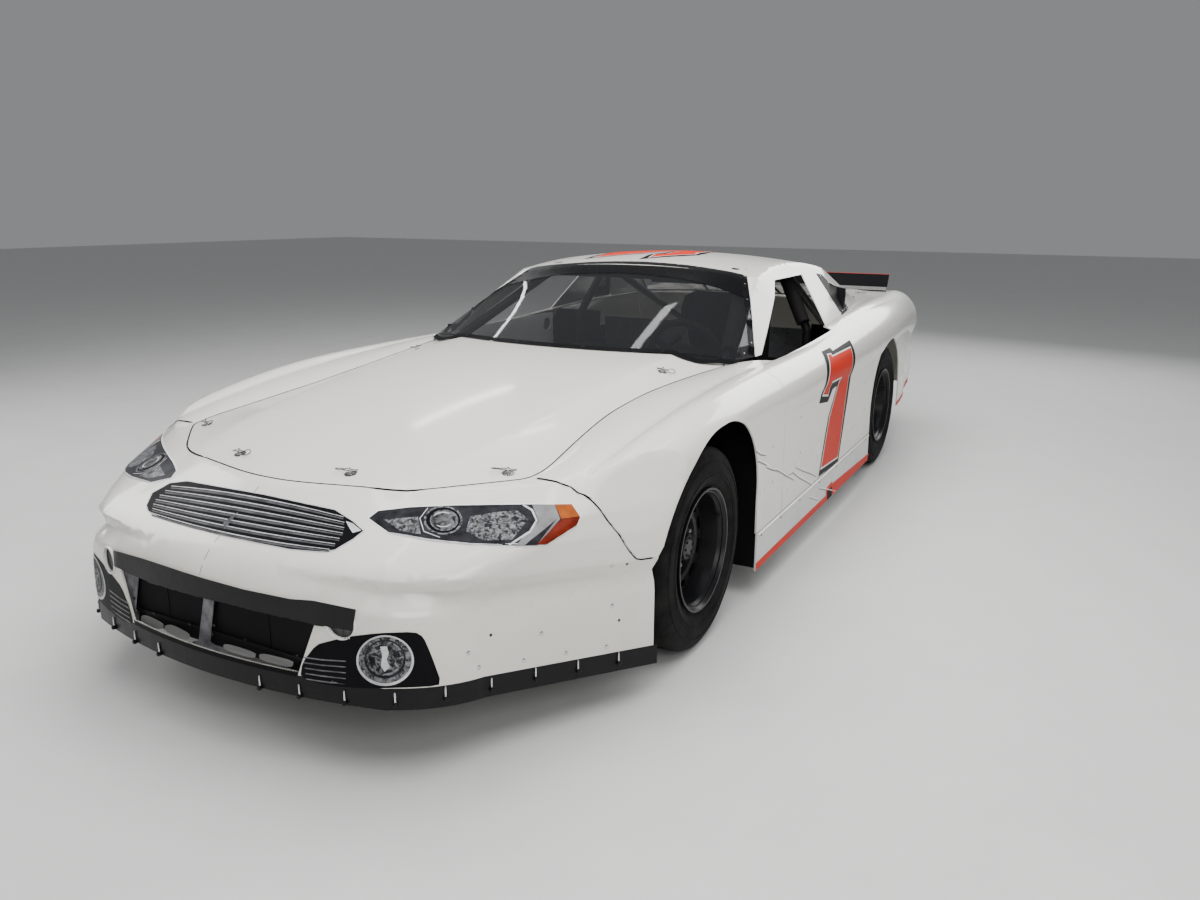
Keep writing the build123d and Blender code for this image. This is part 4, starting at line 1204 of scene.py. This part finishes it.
def make_spoiler_trim():
    """Coloured edge, foot angle and braces of the spoiler."""
    edge, foot, braces = (bmesh.new() for _ in range(3))
    rake = SPOILER_TILT.cross(ACROSS).normalized()
    slab(edge, box(-SPOILER_HALF, SPOILER_HALF, -10, 1.5), at(0, 2385, 1007) - rake * 0.004, ACROSS,
         SPOILER_TILT, -9)
    slab(foot, [(0, 0), (26, 0), (26, 2.5), (2.5, 2.5), (2.5, 26), (0, 26)],
         at(-SPOILER_HALF, 2327, 904), REARWARD, UP, SPOILER_HALF * 2)
    for x in SPOILER_BRACES:
        tube(braces, [at(x, 2381, 984), at(x, 2432, 900)], 5, 10)
        lathe(braces, HEADS["brace_foot"], at(x, 2432, 901), UP, 14)
    softened(link_mesh("spoiler_edge", edge, PRINT_ORANGE), 1)
    softened(link_mesh("spoiler_foot", foot, "cast_aluminium"), 0.6, 1)
    link_mesh("spoiler_braces", braces, BRIGHT, smooth=35)


def make_tail_details():
    """Plain printed tail lamps and rivet rows on the tail."""
    lamp = rounded([(560, 700), (850, 690), (850, 590), (620, 580), (560, 620)])
    bar = rounded([(640, 668), (820, 662), (820, 640), (640, 644)], 1)
    decal("tail_lamp_housing", [lamp], back, PRINT_BLACK, 0.9, 25, both=True)
    decal("tail_lamp", [shrunk(lamp, 14)], back, PRINT_RED, 1.4, 25, both=True)
    decal("tail_lamp_bar", [bar], back, PRINT_LIGHT, 1.9, 20, both=True)
    spots = [(side * x, 372) for side in (1, -1) for x in range(80, 860, 130)]
    fasteners("tail_rivets", [(back, spots), (left, TAIL_SIDE_RIVETS)], BRIGHT)


TAIL_SIDE_RIVETS = [(2160, 380), (2160, 520), (2160, 660), (2100, 320), (1980, 320), (1860, 320)]
DOOR_FASTENERS = [(-700, 560), (-690, 420), (-330, 600), (-320, 450), (820, 560), (825, 420)]
# Millimetres on the door for a scrape's unit of width, and how far its shadow lies below it
SCRAPE_WIDTH, SHADOW_WIDTH, SHADOW_DROP = 5.6, 5.0, 6

# Creases and scrapes low on the door's front and the fender, as pixels: path, width. Each is a
# painted highlight along its ridge, with a painted shadow below it
SCRAPES = [
    ([(753.7, 443), (756, 449.6), (761, 453.2), (766, 453.8)], 1.5),
    ([(754.5, 453.2), (758, 459.8), (765.5, 462.8), (770.6, 467.2)], 1.6),
    ([(766, 466), (772, 468.5), (778.7, 469.6), (786, 474.5), (794, 478.9)], 1.2),
    ([(789, 473.5), (793, 471), (799.2, 476), (808, 481.1), (813.1, 484.8)], 1.9),
    ([(795, 466), (802, 469.5), (812, 473), (816, 475.5)], 0.9),
    ([(819, 487.5), (828, 489.2), (836, 491.2)], 1.0),
    ([(809, 496.5), (814, 497.9), (818.5, 499.2)], 0.9),
]

# Under the roof pillar: place along the car, the pillar's foot across it, the quarter's height
PILLAR_FOOT = [(1288, 751, 885), (1320, 748, 887), (1400, 738, 889), (1480, 728, 891),
               (1560, 718, 893), (1648, 708, 895)]


def make_pillar_fillers():
    """Painted strips that close the slots between the roof pillars and the quarter panels."""
    for turn, side in ((1, "left"), (-1, "right")):
        mesh = bmesh.new()
        rings = []
        for y, foot, top in PILLAR_FOOT:
            corners = [(foot - 10, top - 2.6), (767, top - 2.6), (767, top - 4.2),
                       (foot - 10, top - 4.2)]
            rings.append([at(turn * x, y, z) for x, z in corners[::turn]])
        skin_rings(mesh, rings)
        link_mesh("pillar_filler_" + side, mesh, MATERIALS["body_paint"], slot="body_paint",
                  smooth=30)


def make_marks():
    """The door's scrapes, painted as highlights over painted shadows, and the rows of fasteners on
    the rockers and doors.
    """
    lines, shadows = [], []
    for path, width in SCRAPES:
        places = [touch(p, seen)[0] for p in path]
        run = [(p.y / MM, p.z / MM) for p in places if p is not None]
        lines.append(strip(run, SCRAPE_WIDTH * width, 0.4))
        shadows.append(strip([(y, z - SHADOW_DROP) for y, z in run], SHADOW_WIDTH * width, 0.4))
    decal("door_scrape_highlights", lines, left, SCRAPE_HIGHLIGHT, 0.9, 14, thickness=0.4)
    decal("door_scrape_shadows", shadows, left, SCRAPE_SHADE, 0.5, 14, thickness=0.3)
    spots = [(y, 240) for y in (-800, -560, -300, 0, 300, 600, 900)]
    fasteners("rocker_fasteners", [(left, spots)], DARK_WIRE, both=True)
    fasteners("door_fasteners", [(left, DOOR_FASTENERS)], BRIGHT, both=True)


# Cabin

SEAT_X = 300
# The seat's pads: side outline, half width and how far the sides are drawn in
SEAT_PADS = {
    "cushion": ([(226, 250), (540, 246), (560, 262), (548, 292), (400, 286), (250, 300),
                 (222, 280)], 196, 8),
    "back_pad": ([(588, 320), (606, 300), (620, 330), (652, 800), (640, 830), (622, 800),
                  (596, 560)], 178, 7),
    "head_pad": ([(634, 850), (652, 846), (660, 920), (654, 976), (636, 970), (630, 910)], 120, 5),
}
SEAT_SIDE_PAD = [(500, 868), (640, 830), (648, 960), (520, 966), (486, 926)]


def pad(name, outline, x0, x1, puff):
    """A stuffed pad between two side outlines, rounded by subdivision."""
    mesh = bmesh.new()
    loops = (shrunk(outline, puff), outline, shrunk(outline, puff))
    skin_rings(mesh, [[at(x, y, z) for y, z in loop]
                      for x, loop in zip((x0, (x0 + x1) / 2, x1), loops)])
    piece = link_mesh(name, mesh, CUSHION, smooth=180)
    soft = piece.modifiers.new("soft", "SUBSURF")
    soft.levels = soft.render_levels = 3


def make_seat():
    """The seat's pads, and its harness with the buckle."""
    for name, (outline, half, puff) in SEAT_PADS.items():
        pad("seat_" + name, outline, SEAT_X - half, SEAT_X + half, puff)
    for side, name in ((1, "left"), (-1, "right")):
        x = SEAT_X + side * 190
        pad("seat_side_pad_" + name, SEAT_SIDE_PAD, x - 12, x + 12, 6)
    belts, buckle = bmesh.new(), bmesh.new()
    for x in (SEAT_X - 85, SEAT_X + 85):
        chest = (x + SEAT_X) / 2 - 6
        belt(belts, [at(x, 640, 838), at(x, 610, 790), at(chest, 560, 560), at(SEAT_X, 520, 380)],
             ACROSS)
    for side in (1, -1):
        belt(belts, [at(SEAT_X + side * 190, 560, 330), at(SEAT_X + side * 120, 470, 330),
                     at(SEAT_X, 430, 345)], Vector((0, 0.5, 1)))
    lathe(buckle, HEADS["buckle"], at(SEAT_X, 430, 352), Vector((0, -1, 0.6)), 20)
    link_mesh("harness", belts, WEBBING, smooth=60)
    link_mesh("harness_buckle", buckle, BRIGHT, smooth=35)


# A belt's half width and half thickness in metres
BELT_HALF, BELT_SKIN = 0.022, 0.0015


def belt(mesh, path, side):
    """A flat strap along a path, side giving its width's direction."""
    smooth = [a.lerp(b, t / 4) for a, b in zip(path, path[1:]) for t in range(4)] + path[-1:]
    rings = []
    for k, here in enumerate(smooth):
        run = (smooth[min(k + 1, len(smooth) - 1)] - smooth[max(0, k - 1)]).normalized()
        across = (side - run * side.dot(run)).normalized()
        out = run.cross(across)
        rings.append([here + across * BELT_HALF * u + out * BELT_SKIN * v
                      for u, v in box(-1, 1, -1, 1)])
    skin_rings(mesh, rings)


WHEEL_CENTRE = at(300, 60, 740)
COLUMN_TILT = math.radians(18)
GRIP_RADIUS, GRIP_STEPS = 0.180, 72
# The grip's thickness in millimetres, on and between its stitches
GRIP_SWELL = (16.2, 17.0)


def make_steering_wheel():
    """Grip, spokes and padded boss over the plain steering wheel, turning with it."""
    way = turned(REARWARD, UP, COLUMN_TILT)
    tall = ACROSS.cross(way)
    body = "steering_wheel_body"
    grip, spokes, boss = (bmesh.new() for _ in range(3))
    path = [WHEEL_CENTRE + turned(ACROSS, tall, a) * GRIP_RADIUS for a in angles(GRIP_STEPS)]
    rings = []
    for k, here in enumerate(path):
        run = (path[(k + 1) % GRIP_STEPS] - path[k - 1]).normalized()
        out = run.cross(way)
        rings.append([here + turned(out, way, a) * GRIP_SWELL[k % 2] * MM for a in angles(14)])
    skin_rings(grip, rings, closed=True)
    for turn in (90, 210, 330):
        out = turned(ACROSS, tall, math.radians(turn))
        slab(spokes, [(50, -20), (175, -13), (175, 13), (50, 20)], WHEEL_CENTRE + way * 0.008, out,
             way.cross(out), 5)
    lathe(boss, HEADS["boss_pad"], WHEEL_CENTRE - way * 0.006, way, 40)
    link_mesh("steering_grip", grip, "grip_black", body, smooth=60)
    softened(link_mesh("steering_spokes", spokes, "cast_aluminium", body), 1.2)
    link_mesh("steering_boss_pad", boss, PADDING, body, "grip_black", 40)


DASH_Y = -326
# Gauges: x, z and radius
GAUGES = [(180, 716, 42), (300, 722, 54), (420, 716, 42), (92, 712, 30), (92, 650, 30),
          (508, 712, 30)]


def make_dash():
    """Gauges, switches and a gear lever."""
    faces, rims, needles, switches, lever = (bmesh.new() for _ in range(5))
    for x, z, radius in GAUGES:
        place = at(x, DASH_Y, z)
        lathe(faces, [(-2, radius), (3, radius)], place, REARWARD, 28)
        turned_ring(rims, [(-2, radius), (7, radius), (9, radius + 3), (7, radius + 6),
                           (-2, radius + 6)], place, REARWARD, 32)
        lathe(needles, [(3, 5), (5.5, 5)], place, REARWARD, 12)
        tip = radius * 0.8
        slab(needles, [(-1.6, 0), (1.6, 0), (0.6, tip), (-0.6, tip)], place + REARWARD * 0.004,
             Vector((0.8, 0, 0.6)), Vector((-0.6, 0, 0.8)), -1.2)
    for k in range(6):
        place = at(-60 - 42 * k, DASH_Y, 700)
        lathe(switches, HEADS["switch_nut"], place, REARWARD, 12)
        lathe(switches, HEADS["switch_lever"], place, Vector((0, 1, 0.35)), 10)
    tube(lever, [at(60, -430, 430), at(64, -400, 520), at(74, -330, 600)], 8, 10)
    lathe(lever, HEADS["gear_knob"], at(74, -326, 612), UP, 20)
    link_mesh("gauge_faces", faces, DIAL, smooth=35)
    link_mesh("gauge_rims", rims, BRIGHT, smooth=40)
    link_mesh("gauge_needles", needles, PRINT_ORANGE)
    link_mesh("toggle_switches", switches, BRIGHT, smooth=35)
    link_mesh("gear_lever", lever, "grip_black", smooth=40)


# Tubes near the driver that carry foam, as start and end points of each length
PADDED_BARS = [((675, -380, 848), (545, 110, 1069)), ((520, 240, 1111), (520, 750, 1119)),
               ((666, 720, 860), (528, 795, 1098)), ((440, 190, 1110), (60, 190, 1110))]


def make_padding():
    """Foam over the cage's tubes around the driver."""
    mesh = bmesh.new()
    for start, end in PADDED_BARS:
        tube(mesh, [at(*start).lerp(at(*end), k / 14) for k in range(15)], 35, 20)
    link_mesh("bar_padding", mesh, PADDING, slot="chassis_black", smooth=60)


def holed_sheet(mesh, outline, hole, radius, x0, x1):
    """An upright sheet along the car, as (y, z) points, with a round hole."""
    y_hole, z_hole = hole
    ring = [(math.atan2(z - z_hole, y - y_hole), (y, z)) for y, z in outline]
    for a in angles(24, -12):
        way = Vector((math.cos(a), math.sin(a)))
        reach = min(t for t in (crossing(hole, way, p, q) for p, q in edges_of(outline)) if t)
        ring.append((a, (y_hole + way.x * reach, z_hole + way.y * reach)))
    ring = sorted(ring)
    outer = [p for _, p in ring]
    inner = [(y_hole + radius * math.cos(a), z_hole + radius * math.sin(a)) for a, _ in ring]
    a, b, c, d = ([mesh.verts.new(at(x, y, z)) for y, z in loop]
                  for x in (x0, x1) for loop in (outer, inner))
    for k in range(len(ring)):
        n = (k + 1) % len(ring)
        for face in ((a[k], a[n], b[n], b[k]), (c[k], d[k], d[n], c[n]), (a[k], c[k], c[n], a[n]),
                     (b[k], b[n], d[n], d[k])):
            mesh.faces.new(face)


# The light sheet inside the right-hand door, with its lightening hole
DOOR_SHEET = [(-270, 430), (640, 430), (640, 838), (560, 842), (350, 842), (-100, 838), (-215, 826),
              (-270, 800)]
DOOR_SHEET_HOLE = (577, 777)
DOOR_SHEET_X = -790


def make_tin():
    """The sheet inside the right-hand door, the rivets of the cabin's tin and the wheel wells,
    whose near-black panels stand partly for their shade.
    """
    sheet, sill, heads, wells = (bmesh.new() for _ in range(4))
    holed_sheet(sheet, DOOR_SHEET, DOOR_SHEET_HOLE, 37, DOOR_SHEET_X, DOOR_SHEET_X + 2)
    block(sill, DOOR_SHEET_X, -641, -270, 640, 428, 430)
    rows = [((x, y, 423), UP) for y in range(-250, 700, 75) for x in (-620, -350, -85)]
    rows += [((x, 1010, z), FORWARD) for x in range(-620, 621, 80) for z in (700, 760)]
    rows += [((DOOR_SHEET_X + 2, y, 450), ACROSS) for y in range(-240, 620, 86)]
    for place, way in rows:
        lathe(heads, HEADS["rivet"], at(*place), way, 8)
    for row in WELL_PANELS:
        across_body(wells, *row)
    link_mesh("door_sheet", sheet, LIGHT_TIN)
    link_mesh("door_sheet_sill", sill, "sheet_tin")
    link_mesh("tin_rivets", heads, BRIGHT, smooth=35)
    # Painted shade: the wells' panels are near-black to give the shade in the wheel wells
    link_mesh("wheel_well_shade_panels", wells, BLACK_SHEET, slot="valance_black")


# Upright panels that close the body off around the wheels; their near-black is partly painted shade
# of the wheel wells. columns: y, inner edge's x, foot, top
WELL_PANELS = [(-845, 712, 122, 760), (956, 644, 122, 826)]


def across_body(mesh, y, x_inner, z0, z1):
    """A pair of sheets across the body, fitted to the inside of its skin."""
    outline = [(x_inner, z1), (x_inner, z0)]
    for k in range(13):
        z = z0 + (z1 - z0) * k / 12
        place = touch((y, z), left)[0]
        if place is not None:
            outline.append((place.x / MM - 7, z))
    for turn in (1, -1):
        slab(mesh, [(turn * x, z) for x, z in outline], at(0, y, 0), ACROSS, UP, 2)


def crossing(start, way, p, q):
    """How far along a 2-D ray it meets a segment, or None."""
    ax, ay = p[0] - start[0], p[1] - start[1]
    bx, by = q[0] - p[0], q[1] - p[1]
    det = way.x * by - way.y * bx
    if abs(det) < 1e-9:
        return None
    t = (ax * by - ay * bx) / det
    u = (ax * way.y - ay * way.x) / det
    return t if t > 0 and -1e-6 <= u <= 1 + 1e-6 else None


# Wheels and running gear

TRACK_HALF, FRONT_AXLE_Y, REAR_AXLE_Y, AXLE_Z = 825.5, -1308, 1359, 343
# columns: wheel's name, side, axle's y, body that carries the caliper, side of the axle it is on
WHEELS = [("front_left", 1, FRONT_AXLE_Y, "knuckle_left_body", 1),
          ("front_right", -1, FRONT_AXLE_Y, "knuckle_right_body", 1),
          ("rear_left", 1, REAR_AXLE_Y, CHASSIS, -1), ("rear_right", -1, REAR_AXLE_Y, CHASSIS, -1)]

TYRE_LOOP = [(-126, 194), (-130, 212), (-141, 236), (-144.5, 262), (-144.5, 280), (-141, 302),
             (-136, 318), (-128, 331), (-113, 339.4), (-60, 342.4), (0, 343), (60, 342.4),
             (113, 339.4), (128, 331), (136, 318), (141, 302), (144.5, 280), (144.5, 262),
             (141, 236), (130, 212), (126, 194), (126, 193.2), (-126, 193.2)]
# Ribs of the sidewall, as (along, radius) of their middles
SIDEWALL_RIBS = [(143.4, 250), (144.2, 262), (142.6, 296), (133.6, 221)]
# Radii in metres of the circles of lug nuts and of hub screws, and the nuts' seat
NUT_CIRCLE, SCREW_CIRCLE, NUT_SEAT = 0.0635, 0.031, 0.026
CALIPER_NEAR, CALIPER_FAR, CALIPER_HALF_ANGLE = 92, 160, 26


def make_tyre(name, centre, out, body):
    """The slick with its sidewall ribs."""
    tyre, ribs = bmesh.new(), bmesh.new()
    turned_ring(tyre, TYRE_LOOP, centre, out, 112)
    for x, radius in SIDEWALL_RIBS:
        turned_ring(ribs, [(x - 1, radius - 1.6), (x + 1.5, radius - 0.8), (x + 1.5, radius + 0.8),
                           (x - 1, radius + 1.6)], centre, out, 96)
    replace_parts(link_mesh("slick_" + name, tyre, "tyre_rubber", body, smooth=48), "tyre_" + name)
    link_mesh("sidewall_ribs_" + name, ribs, "tyre_rubber", body, smooth=60)


def make_hub(name, centre, out, body):
    """Lug nuts, studs, hub cap and valve stem."""
    nuts, studs, cap, valve = (bmesh.new() for _ in range(4))
    for a in angles(5, 0.5):
        place = centre + turned(REARWARD, UP, a) * NUT_CIRCLE + out * NUT_SEAT
        lathe(nuts, HEADS["lug_nut"], place, out, 6)
        lathe(studs, HEADS["wheel_stud"], place, out, 12)
    lathe(cap, HEADS["hub_cap"], centre, out, 36)
    for a in angles(8):
        lathe(cap, HEADS["hub_screw"], centre + turned(REARWARD, UP, a) * SCREW_CIRCLE, out, 6)
    stem = centre + out * 0.100 + Vector((0, 0.168, 0.064))
    lathe(valve, HEADS["valve_stem"], stem, out, 8)
    link_mesh("lug_nuts_" + name, nuts, BRIGHT, body, smooth=30)
    link_mesh("wheel_studs_" + name, studs, "raw_steel", body, smooth=35)
    link_mesh("hub_cap_" + name, cap, DARK_WIRE, body, smooth=35)
    link_mesh("valve_stem_" + name, valve, DARK_WIRE, body, smooth=35)


def make_brake(name, centre, side, body, carrier, sign):
    """The drilled disc, which turns with the wheel, and the caliper on what carries it."""
    out = Vector((side, 0, 0))
    disc, caliper = bmesh.new(), bmesh.new()
    turned_ring(disc, box(-70, -46, 78, 156), centre, out, 72)
    for a in angles(36):
        for radius in (96, 118, 140):
            spoke = turned(REARWARD, UP, a + radius * 0.004)
            lathe(disc, HEADS["disc_hole"], centre + spoke * radius * MM, out, 6)
    lathe(disc, HEADS["disc_bell"], centre, out, 32)
    arc = [math.radians(CALIPER_HALF_ANGLE * (k / 4 - 1)) for k in range(9)]
    outline = [(sign * math.cos(a) * radius, math.sin(a) * radius)
               for radius, row in ((CALIPER_NEAR, arc), (CALIPER_FAR, arc[::-1])) for a in row]
    slab(caliper, outline, centre - out * 0.096, REARWARD, UP, side * 72)
    link_mesh("brake_disc_" + name, disc, DISC, body, smooth=30)
    softened(link_mesh("brake_caliper_" + name, caliper, CALIPER, carrier), 4, 3)


def make_wheels():
    """What each wheel carries: tyre, hub and brake, all turning with it but the caliper."""
    for name, side, y, carrier, sign in WHEELS:
        body, centre, out = "wheel_" + name, at(side * TRACK_HALF, y, AXLE_Z), Vector((side, 0, 0))
        make_tyre(name, centre, out, body)
        make_hub(name, centre, out, body)
        make_brake(name, centre, side, body, carrier, sign)


# Coil-overs: lower and upper end on the left
SHOCKS = [((560, FRONT_AXLE_Y + 10, 200), (432, FRONT_AXLE_Y + 10, 575)),
          ((420, REAR_AXLE_Y + 52, 329), (370, 1478, 664))]


def helix(mesh, low, high, radius, wire, turns):
    """A coil of wire between two places."""
    side, up = frame_along(high - low)
    steps = turns * 16
    path = [low.lerp(high, k / steps) + turned(side, up, 2 * math.pi * k / 16) * radius * MM
            for k in range(steps + 1)]
    tube(mesh, path, wire, 8)


def make_springs():
    """Coils around the coil-overs of both axles."""
    mesh = bmesh.new()
    for ends in SHOCKS:
        for side in (1, -1):
            a, b = (at(side * x, y, z) for x, y, z in ends)
            run = (b - a).normalized()
            helix(mesh, a + run * 0.055, b - run * 0.075, 38, 6, 8)
    link_mesh("coil_springs", mesh, SPRING, smooth=60)


# Studio

FLOOR_HALF = 30
# Lights: place, target, size and power
LIGHTS = {
    "overhead": ((0.5, -1.0, 4.2), (0, -0.4, 0), (3.5, 7), 380),
    "tube_left": ((1.5, -0.4, 3.9), (1.5, -0.4, 0), (0.14, 5.0), 16),
    "tube_right": ((-0.9, -0.4, 3.9), (-0.9, -0.4, 0), (0.14, 5.0), 16),
    "far_tube": ((-3.15, 2.6, 3.2), (-3.15, 2.6, 0), (0.08, 1.8), 8),
    "front_left": ((4.2, -5.0, 3.0), (0.3, -1.0, 0.5), (2.5, 2.5), 100),
    "right_side": ((-5.0, -2.5, 2.8), (0, -0.5, 0.5), (3, 3), 110),
    "behind": ((1.5, 6.0, 3.2), (0, 1, 0.8), (4, 2.5), 140),
}


def make_studio():
    """Pale floor, even world light and soft lights. The paint doesn't mirror the overhead one."""
    mesh = bpy.data.meshes.new("floor")
    corners = [(x, y, 0) for x, y in box(-FLOOR_HALF, FLOOR_HALF, -FLOOR_HALF, FLOOR_HALF)]
    mesh.from_pydata(corners, [], [(0, 1, 2, 3)])
    floor = add_object("floor", mesh)
    mesh.materials.append(plain("floor_pale", (0.62, 0.62, 0.61), 0.6, scale=3, vary=0.03, bump=0))
    world = bpy.data.worlds.new("studio")
    bpy.context.scene.world = world
    world.use_nodes = True
    sockets = world.node_tree.nodes["Background"].inputs
    sockets["Color"].default_value = (0.78, 0.8, 0.82, 1)
    sockets["Strength"].default_value = 0.32
    for name, (place, target, size, power) in LIGHTS.items():
        data = bpy.data.lights.new(name, "AREA")
        data.shape = "RECTANGLE"
        data.size, data.size_y = size
        data.energy = power
        light = add_object(name, data)
        light.location = place
        light.visible_glossy = name != "overhead"
        way = Vector(target) - Vector(place)
        light.rotation_euler = way.to_track_quat("-Z", "Y").to_euler()


for make in (make_camera, make_studio, dress_nodes, make_skins, make_front_prints, make_tape,
             make_inlet, make_ducts, make_nose_fasteners, make_hood_pins, make_numbers,
             make_stripes, make_seams, make_windshield_trim, make_window_trim, make_roof_trim,
             make_spoiler_trim, make_tail_details, make_marks, make_pillar_fillers, make_seat,
             make_steering_wheel, make_dash, make_padding, make_tin, make_wheels, make_springs):
    make()
